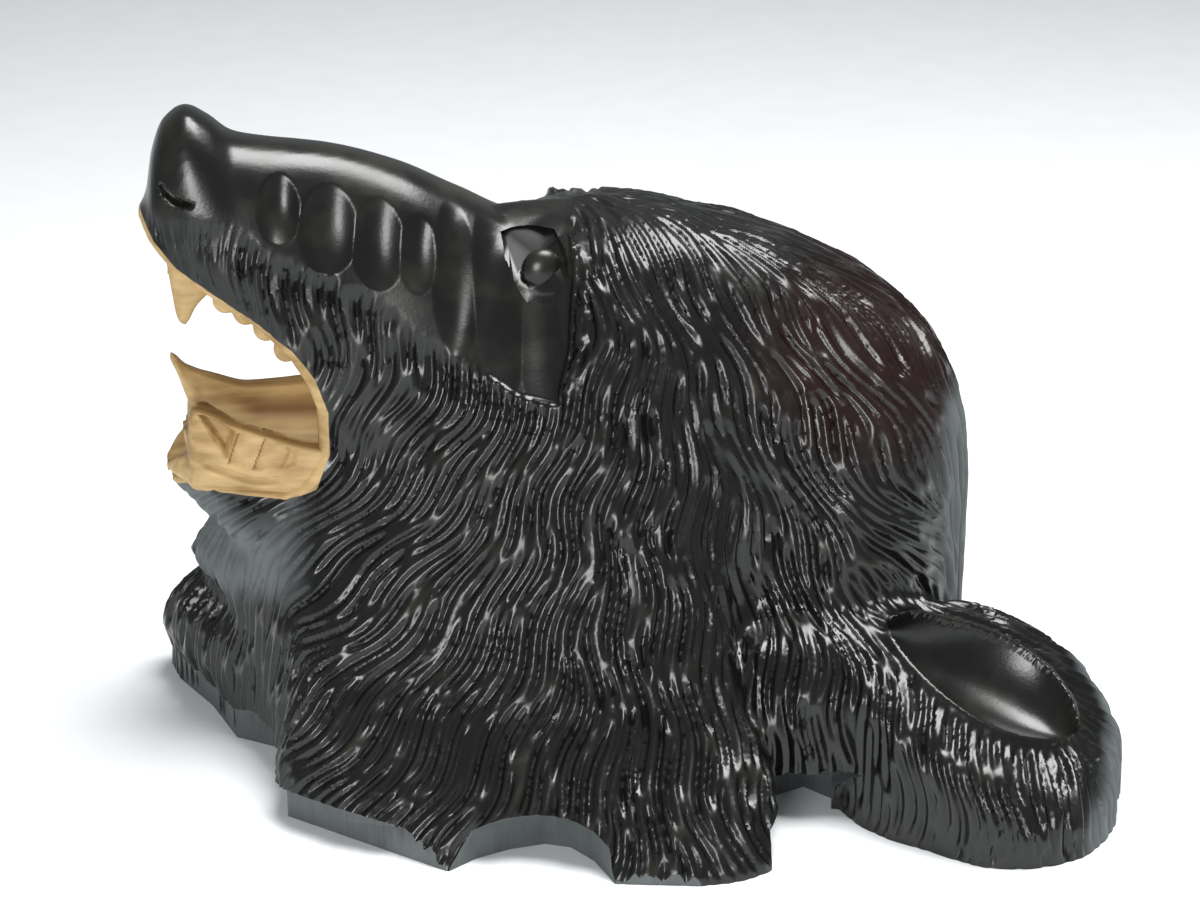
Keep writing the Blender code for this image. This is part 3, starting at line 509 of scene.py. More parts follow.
def muzzle_width(s, x):
    return smooth_line([
        (-s.lip_reach, s.nose_half_width * 0.4),
        (-(s.nose_reach + s.lip_reach) / 2, s.nose_half_width * 0.75),
        (-s.nose_reach, s.nose_half_width),
        (-s.nose_reach + 14, s.lip_half_width - 5),
        (-125, s.lip_half_width),
        (-100, s.lip_half_width + 4),
        (-60, s.cheek_half_width),
        (-25, s.cheek_half_width + 3),
        (10, s.cheek_half_width - 8),
    ], x)


def muzzle_form(s, m):
    angle = np.radians(np.arange(0, 360, 3))
    side = round_power(np.cos(angle), 0.7)
    rise = round_power(np.sin(angle), 0.7)
    rings = []
    for x in np.concatenate([np.linspace(-s.lip_reach, -145, 24), np.linspace(-143, 10, 60)]):
        top = muzzle_top(s, x)
        low = muzzle_low(s, m, x)
        taper = smooth_line([(-s.lip_reach, 0.2), (-120, 0.3), (-60, 0.3), (0, 0.16)], x)
        width = muzzle_width(s, x) * side * (1 - taper * rise)
        rings.append(np.stack([0 * angle + x, width, (top + low) / 2 + (top - low) / 2 * rise], 1))
    return loft(rings)


def jaw_form(m):
    angle = np.radians(np.arange(0, 360, 5))
    side = round_power(np.cos(angle), 0.75)
    rise = round_power(np.sin(angle), 0.75)
    rings = []
    for back in np.linspace(0, 75, 28):
        width = smooth_line([(0, 9), (6, 17), (20, 26), (50, 35), (75, 40)], back)
        low = smooth_line([(0, 104), (8, 97), (16, 88), (40, 66), (75, 50)], back)
        top = m.lower_lip + 3
        height = (low + top) / 2 + (top - low) / 2 * rise
        rings.append(np.stack([0 * angle - m.lower_reach + back, width * side, height], 1))
    return loft(rings)


def upper_lip_edge(s, m):
    """Edge of the upper lip in side view, from its front almost to the mouth's corner."""
    front = -s.lip_reach
    upper = m.upper_front
    return [
        (front, upper + 12.5),
        (front + 3.5, upper + 5),
        (front + 11.5, upper - 4.5),
        (front + 26, upper - 15),
        (front + 40, upper - 25),
    ]


def gape_outline(s, m):
    """Open mouth in side view."""
    front = -s.lip_reach
    upper = m.upper_front
    corner = -m.corner
    return [
        (front - 20, upper + 50),
        *upper_lip_edge(s, m),
        (front + 51, upper - 35),
        (corner - 4, m.upper_back),
        (corner, m.upper_back - 12),
        (corner, m.lower_lip + 12),
        (corner - 5, m.lower_lip + 1),
        (corner - 14, m.lower_lip - 5),
        (corner - 38, m.lower_lip - 3),
        (corner - 48, m.lower_lip),
        (-m.lower_reach - 1, m.lower_lip - 5),
        (front - 20, m.lower_lip - 6),
    ]


def outline_depth(outline, x, z):
    """Distance inside a side-view outline, below zero outside it."""
    inside = np.zeros(len(x), dtype=bool)
    nearest = np.full(len(x), 1e9)
    for (ax, az), (bx, bz) in zip(outline, outline[1:] + outline[:1]):
        along = ((x - ax) * (bx - ax) + (z - az) * (bz - az)) / ((bx - ax) ** 2 + (bz - az) ** 2)
        along = np.clip(along, 0, 1)
        nearest = np.minimum(nearest, np.hypot(x - ax - along * (bx - ax), z - az - along * (bz - az)))
        crosses = (az > z) != (bz > z)
        if az != bz:
            inside ^= crosses & (x < ax + (z - az) * (bx - ax) / (bz - az))
    return np.where(inside, nearest, -nearest)


def ear_middle(s, side):
    """Middle of an ear, seen from above; the far ear sits a little nearer the brow."""
    return s.ear_x - (s.far_ear_shift if side > 0 else 0.0), side * s.ear_y


def ear_form(s, side):
    middle_x, middle_y = ear_middle(s, side)
    half = s.ear_half_length
    turn = np.arange(-180, 180, 3)
    reach = half * smooth_line([
        (-180, 1.02),
        (-163, 0.95),
        (-130, 0.84),
        (-100, 0.95),
        (-81, 0.98),
        (-62, 1.0),
        (-44, 0.97),
        (-11, 0.95),
        (0, 1.02),
        (30, 1.03),
        (60, 0.94),
        (120, 0.88),
        (150, 0.95),
        (180, 1.02),
    ], turn)
    x = reach * np.cos(np.radians(turn))
    y = reach * np.sin(np.radians(turn))
    rings = [np.stack([middle_x + x, middle_y - side * y, 0 * x - SPARE_WOOD], 1)]
    for inset in np.linspace(0, 1, 36) ** 2 * 0.99:
        swell = smooth_line([(0, -9), (0.02, -5), (0.07, -1.5), (0.16, 1.5), (0.3, 3), (0.6, 3),
                             (0.99, 3)], inset)
        px = x * (1 - inset)
        py = y * (1 - inset)
        across = (py + half) / (2 * half)
        height = s.ear_rim_height + (s.ear_crest_height - s.ear_rim_height) * across + swell
        height = height - s.ear_fall * px / (2 * half)
        rings.append(np.stack([middle_x + px, middle_y - side * py, height], 1))
    return loft(rings)


def ball(place, radius, stretch=(1, 1, 1), segments=48):
    bm = bmesh.new()
    bmesh.ops.create_uvsphere(bm, u_segments=segments, v_segments=segments // 2, radius=radius)
    mesh = bpy.data.meshes.new("ball")
    bm.to_mesh(mesh)
    bm.free()
    mesh.transform(Matrix.Translation(place) @ Matrix.Diagonal((*stretch, 1)))
    return mesh


def block(place, size, turn=0.0):
    """Box, leaning in side view by turn degrees."""
    bm = bmesh.new()
    bmesh.ops.create_cube(bm, size=1)
    mesh = bpy.data.meshes.new("block")
    bm.to_mesh(mesh)
    bm.free()
    lean = Matrix.Rotation(math.radians(turn), 4, "Y")
    mesh.transform(Matrix.Translation(place) @ lean @ Matrix.Diagonal((*size, 1)))
    return mesh


def ear_roots(s, side):
    """Swellings where the crown and the mane run into the ear."""
    middle_x, middle_y = ear_middle(s, side)
    crown = ball((middle_x - 32, middle_y - side * 30, 36), 28, (1.0, 0.95, 1.25))
    mane = ball((s.notch_reach * 0.62, side * s.notch_reach * 0.75, 30), 36, (1.0, 0.95, 1.15))
    return [crown, mane]


class Surface:
    """Points of a mesh with their normals and neighbours, to be carved."""

    def __init__(self, mesh):
        self.mesh = mesh
        count = len(mesh.vertices)
        points = np.empty(count * 3, dtype=np.float32)
        mesh.vertices.foreach_get("co", points)
        self.points = points.reshape(-1, 3).astype(float)
        edges = np.empty(len(mesh.edges) * 2, dtype=np.int32)
        mesh.edges.foreach_get("vertices", edges)
        self.edges = edges.reshape(-1, 2)
        self.degree = np.bincount(self.edges.ravel(), minlength=count)
        self.update()

    def update(self):
        self.mesh.vertices.foreach_set("co", self.points.astype(np.float32).ravel())
        self.mesh.update()
        normals = np.empty(len(self.points) * 3, dtype=np.float32)
        self.mesh.vertex_normals.foreach_get("vector", normals)
        self.normals = normals.reshape(-1, 3).astype(float)

    def relax(self, share, rounds):
        """Pull each point towards its neighbours' mean, as far as share says."""
        a, b = self.edges.T
        for _ in range(rounds):
            total = np.zeros_like(self.points)
            for axis in range(3):
                total[:, axis] += np.bincount(a, self.points[b, axis], len(self.points))
                total[:, axis] += np.bincount(b, self.points[a, axis], len(self.points))
            mean = total / self.degree[:, None]
            self.points += (mean - self.points) * share[:, None] * 0.6
        self.update()

    def push(self, amount):
        self.points += self.normals * amount[:, None]
        self.update()


def write_attribute(mesh, name, values):
    attribute = mesh.attributes.get(name) or mesh.attributes.new(name, "FLOAT", "POINT")
    attribute.data.foreach_set("value", np.asarray(values, dtype=np.float32))


def write_vectors(mesh, name, values):
    attribute = mesh.attributes.new(name, "FLOAT_VECTOR", "POINT")
    attribute.data.foreach_set("vector", np.asarray(values, dtype=np.float32).ravel())


def bare_face(points):
    """Share of each point that lies on the smooth, hairless part of the face."""
    x, y, z = points.T
    fur_line = smooth_line([(-166, 214), (-140, 212), (-128, 203), (-104, 192), (-85, 182),
                            (-73, 170), (-50, 158), (-35, 151), (-18, 149)], x)
    return ramp(z - fur_line, -1.0, 1.0) * (1 - ramp(x - back_of_face(z), -1.0, 1.0))


def back_of_face(z):
    """Where the smooth face ends behind the eye, by height."""
    return smooth_line([(148, -24), (169, -18), (180, -16.5), (196, -14), (205, -14), (212, -6)], z)


def facets(s, points):
    """Depth of the gouge cuts along the side of the muzzle and down the cheek."""
    x, y, z = points.T
    width = s.facet_width
    nose = s.nose_height
    cuts = [
        (-121, nose - 34, 0.43 * width, 0.68 * width, 1.1),
        (-103.5, nose - 42, 0.60 * width, 0.88 * width, 1.1),
        (-85.5, nose - 48, 0.54 * width, 0.90 * width, 1.0),
        (-71, nose - 52, 0.42 * width, 0.76 * width, 0.8),
        (-58, nose - 62, 0.46 * width, 1.5 * width, 0.55),
        (-43, nose - 68, 0.52 * width, 1.8 * width, 0.55),
        (-29, nose - 84, 0.44 * width, 1.5 * width, 0.5),
    ]
    depth = 0 * x
    for middle, height, half_width, half_height, share in cuts:
        inside = 1 - ((x - middle) / half_width) ** 2 - ((z - height) / half_height) ** 2
        depth = np.maximum(depth, s.facet_depth * share * np.maximum(inside, 0))
    return depth * ramp(np.abs(y), 12.0, 18.0)


class Spot:
    """Place on one side of the head, with directions outwards, along a cut and across it."""

    def __init__(self, side, place, outwards, along):
        mirror = np.array([1.0, side, 1.0])
        self.out = np.array(outwards, dtype=float) * mirror
        self.out /= np.linalg.norm(self.out)
        self.place = np.array(place, dtype=float) * mirror
        self.back = np.array(along, dtype=float) * mirror
        self.back -= self.out * (self.back @ self.out)
        self.back /= np.linalg.norm(self.back)
        self.up = np.cross(self.out, self.back) * -side

    def measure(self, points):
        """Each point's distance back, up and out from the place."""
        gap = points - self.place
        return gap @ self.back, gap @ self.up, gap @ self.out


def dig(surface, spot, depth_at, reach):
    """Lower the points around a spot by what depth_at gives for their place back and up."""
    back, up, out = spot.measure(surface.points)
    facing = ramp(surface.normals @ spot.out, 0.0, 0.3) * (np.abs(out) < reach)
    surface.points -= np.outer(depth_at(back, up) * facing, spot.out)


def face_width_at(surface, side, x, z):
    """How far out the face's side lies at a place in side view."""
    px, py, pz = surface.points.T
    gap = np.hypot(px - x, pz - z) + 1000.0 * ((surface.normals[:, 1] * side < 0.2) | (py * side < 20))
    return abs(py[np.argmin(gap)])


def eye_socket(s, surface, side):
    """Cutter for the hollow around the eye: straight and deepest under the upper lid, pointed in front."""
    corners = [(-15.5, 11.0), (-11, 12.0), (-5, 12.6), (1, 12.8), (5.5, 12.5), (7.5, 9), (8.3, 4),
               (8.6, -1), (8, -6), (3, -9), (-2, -10.2), (-7, -9.2), (-11, -3.5), (-13.6, 4)]
    upper_lid = 12.5
    lowest = -10.2
    highest = 12.8
    middle = -s.eye_front
    lid = s.eye_height + upper_lid
    deep = []
    flush = []
    clear = []
    for dx, dz in corners:
        out = face_width_at(surface, side, middle + dx, s.eye_height + dz)
        share = 0.45 + 0.55 * (dz - lowest) / (highest - lowest)
        under_lid = dz - upper_lid
        deep.append((middle + dx * 0.82, side * (out - s.socket_depth * share), lid + under_lid * 0.84))
        flush.append((middle + dx, side * (out + 0.2), s.eye_height + dz))
        clear.append((middle + dx * 1.1, side * (out + 9), lid + under_lid * 1.1 + 1))
    return loft([deep, flush, clear])


def eyeball(s, surface, side):
    """Flattened ball that fills the hollow and stops a little under the cheek."""
    flat = 0.62
    under_cheek = 0.7
    out = face_width_at(surface, side, -s.eye_front, s.eye_height) - under_cheek - flat * s.eye_radius
    return ball((-s.eye_front, side * out, s.eye_height - 0.6), s.eye_radius, (1.0, flat, 1.06))


def nostril():
    """Curved slit of the nostril."""
    half_length = 8.0
    half_width = 1.9
    deepest = 4.0

    def depth(back, up):
        bent = up - 0.035 * back ** 2
        inside = 1 - (back / half_length) ** 2 - (bent / half_width) ** 2
        return deepest * np.maximum(inside, 0) ** 0.7

    return depth


def ear_bowl(s):
    """Leaf-shaped bowl, widest past its middle, with a swollen rim."""
    half = s.bowl_length / 2
    rim_height = 2.2
    rim_width = 2.2

    def depth(back, up):
        along = np.clip(back / half, -1, 1)
        width = s.bowl_width / 2 * (1 - along ** 2) ** 0.7 * (1 + 0.2 * along)
        ratio = np.abs(up) / np.maximum(width, 0.01)
        bowl = s.bowl_depth * np.maximum(1 - ratio ** 2.2, 0) * (1 - along ** 2) ** 0.35
        rim = rim_height * np.exp(-(((np.abs(up) - width - 1.2) / rim_width) ** 2))
        rim = rim * (1 - along ** 2) ** 0.5 * (ratio > 1)
        return np.where(np.abs(back) < half, bowl - rim, 0)

    return depth


def ear_spot(s, side):
    """Middle of the ear's bowl, which lies along the ear's slanting top."""
    middle_x, middle_y = ear_middle(s, side)
    place = (middle_x - 3, abs(middle_y) - 5.5, 46)
    return Spot(side, place, (0.253, 0.412, 0.876), (62, 30, -32))


def in_ear_bowls(s, surface):
    """Which points lie in the bowl of either ear."""
    inside = np.zeros(len(surface.points), dtype=bool)
    for side in SIDES:
        back, rise, out = ear_spot(s, side).measure(surface.points)
        deep = np.abs(ear_bowl(s)(back, rise)) > 0.4
        inside |= deep & (np.abs(out) < 30) & (surface.points[:, 1] * side > 0)
    return inside


def carved_form(s, m, coarse):
    """The head without its fur and hollows: its forms fused, with melted junctions."""
    gape = prism(gape_outline(s, m), 1, -90, 90)
    shells = [boolean(form, gape.copy()) for form in (mane_form(s), muzzle_form(s, m), jaw_form(m))]
    for side in SIDES:
        shells.append(ear_form(s, side))
        shells.extend(ear_roots(s, side))
    surface = Surface(fused(shells, s.grain * coarse))
    x, y, z = surface.points.T
    along = ramp(x, -m.corner + 6, -m.corner + 18) * (1 - ramp(x, 15, 40))
    top = 1 - ramp(z, s.brow_height - 14, s.brow_height - 6)
    cheek = along * (1 - ramp(np.abs(y), 70, 90)) * top
    under_jaw = (1 - ramp(x, -110, -90)) * (1 - ramp(z, m.lower_lip - 14, m.lower_lip - 6)) * ramp(z, 34, 46)
    root = np.stack([(x - 78) * 0.8, np.abs(y) - 76, (z - 40) * 0.8], 1)
    ear = 1 - ramp(np.linalg.norm(root, axis=1), 26, 50)
    # Coarser faces melt in fewer rounds
    melt_rounds = int(30 / coarse ** 2)
    surface.relax(np.maximum(np.maximum(cheek, under_jaw), ear), melt_rounds)
    return halved(surface.mesh)


def hollowed(s, f, mesh):
    """The form with its brow, facets, nostrils and ear bowls, and a ridge behind the eyes."""
    brow_rise = 5.5
    brow_radius = 13.0
    surface = Surface(mesh)
    x, y, z = surface.points.T
    corner = np.stack([x + 14, np.abs(y) - 37, z - 203], 1)
    near_brow = np.linalg.norm(corner, axis=1) / brow_radius
    surface.push(brow_rise * np.maximum(1 - near_brow, 0) * ramp(x, -26, -14))
    surface.push(-facets(s, surface.points) * bare_face(surface.points))
    surface.push(f.fur_step * (1 - bare_face(surface.points)) * ramp(surface.points[:, 0], -60, -40))
    x, y, z = surface.points.T
    # Where the smooth face ends, a low ridge with a groove behind it
    behind = x - back_of_face(z)
    flank = ramp(z, 148, 156) * (1 - ramp(z, 202, 208)) * ramp(np.abs(y), 20, 28) * (behind > -12)
    ridge = 1.5 * np.exp(-(((behind + 0.4) / 1.3) ** 2)) - 0.9 * np.exp(-(((behind - 3.0) / 1.6) ** 2))
    surface.push(ridge * flank)
    for side in SIDES:
        nose = Spot(side, (-158.5, 19, 220.5), (-0.45, 0.89, 0.0), (1, 0, -0.45))
        dig(surface, nose, nostril(), 14)
        dig(surface, ear_spot(s, side), ear_bowl(s), 30)
    surface.update()
    return surface


# Which way the hair lies in the picture plane, in millimetres across and up from the
# middle of the view, and its lean from straight down, in degrees towards the ears
COMB = [
    (-170, 82, 5), (-156, 74, 12), (-140, 70, 0), (-121, 47, -5), (-105, 43, 5), (-94, 31, -10),
    (-70, 35, -12), (-51, 23, -15), (-31, 23, -12), (-16, 101, 80), (-8, 76, 20), (0, 58, 10),
    (18, 81, 38), (33, 79, 42), (28, 58, 18), (58, 74, 53), (62, 45, 20), (77, 35, 27),
    (82, 69, 63), (92, 74, 67), (20, 97, 84), (55, 92, 76), (106, 60, 60), (126, 35, 30),
    (121, 25, 30), (101, 21, 37), (53, 16, 22), (67, 1, 15), (82, 1, 20), (101, -4, 27),
    (111, -28, 53), (106, -39, 72), (-1, 16, -16), (-6, -4, -20), (-11, 6, -30), (14, -4, -8),
    (28, -14, -6), (-93, 10, -20), (-73, 10, -33), (-54, 5, -36), (-34, 10, -15), (-20, 5, -18),
    (-107, -14, -48), (-117, -29, -53), (-137, -39, -66), (-88, -29, -48), (-68, -29, -48),
    (-58, -24, -45), (-39, -34, -27), (-29, -39, -18), (-10, -29, -6), (-137, -58, -75),
    (-146, -68, -78), (-146, -78, -78), (-107, -63, -60), (-78, -53, -48), (-156, -92, -65),
    (-132, -92, -54), (-117, -88, -54), (-107, -107, -49), (-112, -127, -45), (-88, -97, -41),
    (-58, -107, -27), (-68, -122, -33), (-39, -78, -24), (-49, -68, -33), (-20, -78, -18),
    (-29, -117, -24), (0, -78, 5), (-10, -46, -17), (9, -58, 5), (35, -46, 3), (55, -58, 6),
    (81, -46, 17), (94, -32, 30), (106, -58, 42), (94, -71, 17), (106, -85, 9), (81, -85, 3),
    (67, -97, -3), (-10, -124, -17), (16, -136, 0), (28, -110, 6), (42, -136, 17), (55, -143, 20),
    (113, -97, 0), (120, -117, 0), (145, -124, 3), (172, -130, 0), (139, -53, 88), (172, -61, 72),
    (191, -71, 60), (184, -78, 65), (191, -97, 62), (198, -110, 50), (195, -133, 10),
]


def picture_place(points):
    """Points of either side as the photograph shows the near side: millimetres across and up."""
    near = np.stack([points[:, 0], -np.abs(points[:, 1]), points[:, 2] - VIEW_HEIGHT], 1)
    return near @ ACROSS, near @ UPWARDS


def hair_headings(f, points, normals):
    """Direction of the hair at each point, along the surface."""
    across, up = picture_place(points)
    lean = np.zeros((len(points), 2))
    for place_across, place_up, degrees in COMB:
        near = 1.0 / ((across - place_across) ** 2 + (up - place_up) ** 2 + 40.0) ** 2
        lean[:, 0] += near * math.sin(math.radians(degrees))
        lean[:, 1] += near * math.cos(math.radians(degrees))
    wave = np.sin(up * 2 * math.pi / f.wave_length + across * 0.045)
    furry = 1 - ramp(np.abs(across), 150, 170)
    angle = np.arctan2(lean[:, 0], lean[:, 1]) + f.wave_lean * wave * furry
    seen = np.outer(np.sin(angle), ACROSS) - np.outer(np.cos(angle), UPWARDS)
    mirror = np.where(points[:, 1] > 0, -1.0, 1.0)
    flat = normals * np.stack([np.ones(len(points)), mirror, np.ones(len(points))], 1)
    facing = flat @ TOWARDS
    sunk = -(seen * flat).sum(1) * facing / (facing ** 2 + 0.15)
    heading = seen + np.outer(sunk, TOWARDS)
    # The crown's end wall and the throat's front are combed straight down
    steep = ramp(np.abs(flat[:, 0]), 0.65, 0.85)[:, None]
    heading = heading * (1 - steep) + steep * np.array([0.0, 0.0, -1.0])
    heading -= flat * (heading * flat).sum(1)[:, None]
    heading /= np.maximum(np.linalg.norm(heading, axis=1), 1e-6)[:, None]
    heading[:, 1] *= mirror
    return heading


def lock_spacings(f, points):
    """Width of a lock at each point."""
    across, up = picture_place(points)
    spacing = f.lock_spacing + (f.crown_spacing - f.lock_spacing) * ramp(up, 55, 90) * ramp(across, -30, 10)
    lip = (1 - ramp(across, -140, -118)) * ramp(up, 30, 45)
    spacing = spacing + (f.lip_spacing - spacing) * lip
    far = ramp(points[:, 1], 10, 60)
    return spacing * (1 + 0.15 * far)


def groove_depths(f, points, spacing, depth):
    """Depth of the cut beside a lock at each point."""
    across, up = picture_place(points)
    shallow = 1 - 0.45 * ramp(up, 60, 95) * ramp(across, -10, 20)
    return depth * (spacing / f.lock_spacing) ** 1.1 * shallow


class Strokes:
    """Gouge strokes laid side by side over a surface, each a list of points along the hair."""

    STEP = 1.1
    FEWEST_POINTS = 9
    # How far a stroke stays from the others, as shares of a lock's width
    START_CLEARANCE = 0.9
    CLEARANCE = 0.5

    def __init__(self, surface, heading, spacing, seed):
        self.points = surface.points
        self.normals = surface.normals
        self.heading = heading
        self.spacing = spacing
        self.cell = float(spacing.max())
        self.taken = {}
        self.strokes = []
        self.chance = random.Random(seed)
        self.tree = KDTree(len(self.points))
        for index, point in enumerate(self.points):
            self.tree.insert(point, index)
        self.tree.balance()

    def key(self, point):
        return tuple(int(math.floor(c / self.cell)) for c in point)

    def too_near(self, point, reach, own):
        i, j, k = self.key(point)
        for di in (-1, 0, 1):
            for dj in (-1, 0, 1):
                for dk in (-1, 0, 1):
                    for other, owner in self.taken.get((i + di, j + dj, k + dk), ()):
                        if owner != own and (other - point).length < reach:
                            return True
        return False

    def settled(self, point):
        """The point laid on the surface, and the nearest mesh point's number."""
        place, index, _ = self.tree.find(point)
        normal = Vector(self.normals[index])
        return point - normal * (point - place).dot(normal), index

    def keep(self, path):
        for point in path:
            self.taken.setdefault(self.key(point), []).append((point, len(self.strokes)))
        self.strokes.append(path)

    def half(self, start, sense, mask, most):
        """Points from a start along the hair, or against it, up to a number of steps."""
        point = start
        path = []
        own = len(self.strokes)
        for _ in range(most):
            place, index = self.settled(point)
            if mask[index] < 0.5:
                break
            ahead = place + Vector(self.heading[index]) * (sense * self.STEP)
            ahead, index = self.settled(ahead)
            if self.too_near(ahead, self.spacing[index] * self.CLEARANCE, own) or ahead.z < -1:
                break
            path.append(ahead)
            point = ahead
        return path

    def stroke_through(self, start, mask, shortest, longest):
        """Stroke through a place, if it is on the masked surface and clear of the others."""
        start, index = self.settled(start)
        reach = self.spacing[index] * self.START_CLEARANCE
        if mask[index] < 0.5 or self.too_near(start, reach, -1):
            return None
        before = self.chance.uniform(0.2, 0.8)
        most = self.chance.uniform(shortest, longest) / self.STEP
        path = self.half(start, -1.0, mask, int(most * before))
        path = path[::-1] + [start] + self.half(start, 1.0, mask, int(most * (1 - before)))
        if len(path) < self.FEWEST_POINTS:
            return None
        self.keep(path)
        return path

    def cover(self, mask, shortest, longest):
        """Fill the masked surface with strokes side by side, between two lengths."""
        starts = np.flatnonzero(mask > 0.5)
        order = [int(k) for k in starts[::5]]
        self.chance.shuffle(order)
        for index in order:
            waiting = [Vector(self.points[index])]
            while waiting:
                path = self.stroke_through(waiting.pop(0), mask, shortest, longest)
                if path is None:
                    continue
                for k in range(2, len(path) - 2, 5):
                    number = self.settled(path[k])[1]
                    beside = Vector(self.normals[number]).cross(path[k + 1] - path[k - 1])
                    beside *= self.spacing[number] / max(beside.length, 1e-6)
                    waiting.append(path[k] + beside)
                    waiting.append(path[k] - beside)


def stroke_object(strokes, fade):
    """The strokes as a mesh of edges with each point's taper, over fade points, and its side."""
    vertices = []
    edges = []
    taper = []
    side = []
    for number, path in enumerate(strokes.strokes):
        strength = strokes.chance.uniform(0.75, 1.1)
        for k, point in enumerate(path):
            if k:
                edges.append((len(vertices) - 1, len(vertices)))
            index = strokes.settled(point)[1]
            ahead = path[min(k + 1, len(path) - 1)] - path[max(k - 1, 0)]
            vertices.append(point * MM)
            across = Vector(strokes.normals[index]).cross(ahead)
            side.append(across.normalized())
            taper.append(strength * min(1.0, (min(k, len(path) - 1 - k) + 0.6) / fade))
    mesh = bpy.data.meshes.new("strokes")
    mesh.from_pydata(vertices, edges, [])
    write_attribute(mesh, "taper", taper)
    write_vectors(mesh, "side", side)
    return new_object("strokes", mesh)


def add_node(tree, kind, inputs=None, **settings):
    """New node with its settings; an input is a value, or another node's output to link."""
    node = tree.nodes.new(kind)
    for name, value in settings.items():
        setattr(node, name, value)
    for key, value in (inputs or {}).items():
        socket = node.inputs[key]
        if isinstance(value, bpy.types.NodeSocket):
            tree.links.new(value, socket)
        else:
            socket.default_value = value
    return node


def carved(obj, tree, values):
    """Plain mesh that a geometry node tree makes of an object, with its inputs set by name."""
    modifier = obj.modifiers.new(tree.name, "NODES")
    modifier.node_group = tree
    for item in tree.interface.items_tree:
        if item.item_type == "SOCKET" and item.in_out == "INPUT" and item.name in values:
            modifier[item.identifier] = values[item.name]
    mesh = evaluated_mesh(obj)
    obj.modifiers.remove(modifier)
    return mesh


def tree_with(name, sockets):
    """Empty geometry node tree with the named inputs and one geometry output."""
    tree = bpy.data.node_groups.new(name, "GeometryNodeTree")
    tree.interface.new_socket(name="Geometry", in_out="INPUT", socket_type="NodeSocketGeometry")
    for label, kind in sockets:
        tree.interface.new_socket(name=label, in_out="INPUT", socket_type=kind)
    tree.interface.new_socket(name="Geometry", in_out="OUTPUT", socket_type="NodeSocketGeometry")
    return tree, tree.nodes.new("NodeGroupInput").outputs


def fur_tree():
    """Cuts a groove along every stroke: deepest on it, steep on one side and easy on the other."""
    tree, given = tree_with("cut_fur", [
        ("Strokes", "NodeSocketObject"),
        ("Steep Share", "NodeSocketFloat"),
        ("Easy Share", "NodeSocketFloat"),
        ("Lacquer", "NodeSocketMaterial"),
    ])
    strokes = add_node(tree, "GeometryNodeObjectInfo", {0: given["Strokes"]}).outputs["Geometry"]
    place = add_node(tree, "GeometryNodeInputNamedAttribute", {0: "plain"},
                     data_type="FLOAT_VECTOR").outputs[0]
    normal = add_node(tree, "GeometryNodeInputNormal").outputs[0]
    near = add_node(tree, "GeometryNodeProximity", {0: strokes, 2: place}, target_element="EDGES")
    nearest = add_node(tree, "GeometryNodeSampleNearest", {0: strokes, 1: place}, domain="POINT").outputs[0]
    sampled = {}
    for name, kind in (("taper", "FLOAT"), ("side", "FLOAT_VECTOR")):
        field = add_node(tree, "GeometryNodeInputNamedAttribute", {0: name}, data_type=kind).outputs[0]
        sampled[name] = add_node(tree, "GeometryNodeSampleIndex", {0: strokes, 1: field, 2: nearest},
                                 data_type=kind, domain="POINT").outputs[0]
    own = {}
    for name in ("lock_spacing", "groove_depth"):
        own[name] = add_node(tree, "GeometryNodeInputNamedAttribute", {0: name},
                             data_type="FLOAT").outputs[0]
    spacing = own["lock_spacing"]
    offset = add_node(tree, "ShaderNodeVectorMath", {0: place, 1: near.outputs["Position"]},
                      operation="SUBTRACT").outputs[0]
    lateral = add_node(tree, "ShaderNodeVectorMath", {0: offset, 1: sampled["side"]},
                       operation="DOT_PRODUCT").outputs["Value"]
    # Half the groove's width on this side of the stroke
    signed = add_node(tree, "ShaderNodeMath", {0: lateral, 1: spacing}, operation="DIVIDE").outputs[0]
    shares = {3: given["Steep Share"], 4: given["Easy Share"]}
    share = add_node(tree, "ShaderNodeMapRange", {0: signed, 1: -0.08, 2: 0.08, **shares},
                     interpolation_type="SMOOTHSTEP").outputs[0]
    width = add_node(tree, "ShaderNodeMath", {0: spacing, 1: share}, operation="MULTIPLY").outputs[0]
    gap = add_node(tree, "ShaderNodeMath", {0: near.outputs["Distance"], 1: width},
                   operation="DIVIDE").outputs[0]
    inside = add_node(tree, "ShaderNodeMath", {0: 1.0, 1: gap}, operation="SUBTRACT",
                      use_clamp=True).outputs[0]
    # The groove's walls are a little hollow
    hollow = add_node(tree, "ShaderNodeMath", {0: inside, 1: 1.35}, operation="POWER").outputs[0]
    cut = add_node(tree, "ShaderNodeMath", {0: hollow, 1: sampled["taper"]},
                   operation="MULTIPLY").outputs[0]
    deep = add_node(tree, "ShaderNodeMath", {0: cut, 1: own["groove_depth"]},
                    operation="MULTIPLY").outputs[0]
    down = add_node(tree, "ShaderNodeMath", {0: deep, 1: -1.0}, operation="MULTIPLY").outputs[0]
    sink = add_node(tree, "ShaderNodeVectorMath", {0: normal, "Scale": down}, operation="SCALE").outputs[0]
    stored = add_node(tree, "GeometryNodeStoreNamedAttribute", {0: given["Geometry"], 2: "groove", 3: cut},
                      data_type="FLOAT", domain="POINT").outputs[0]
    moved = add_node(tree, "GeometryNodeSetPosition", {0: stored, 3: sink}).outputs[0]
    real = add_node(tree, "GeometryNodeRealizeInstances", {0: moved}).outputs[0]
    finished = add_node(tree, "GeometryNodeSetMaterial", {0: real, 2: given["Lacquer"]}).outputs[0]
    add_node(tree, "NodeGroupOutput", {0: finished})
    return tree


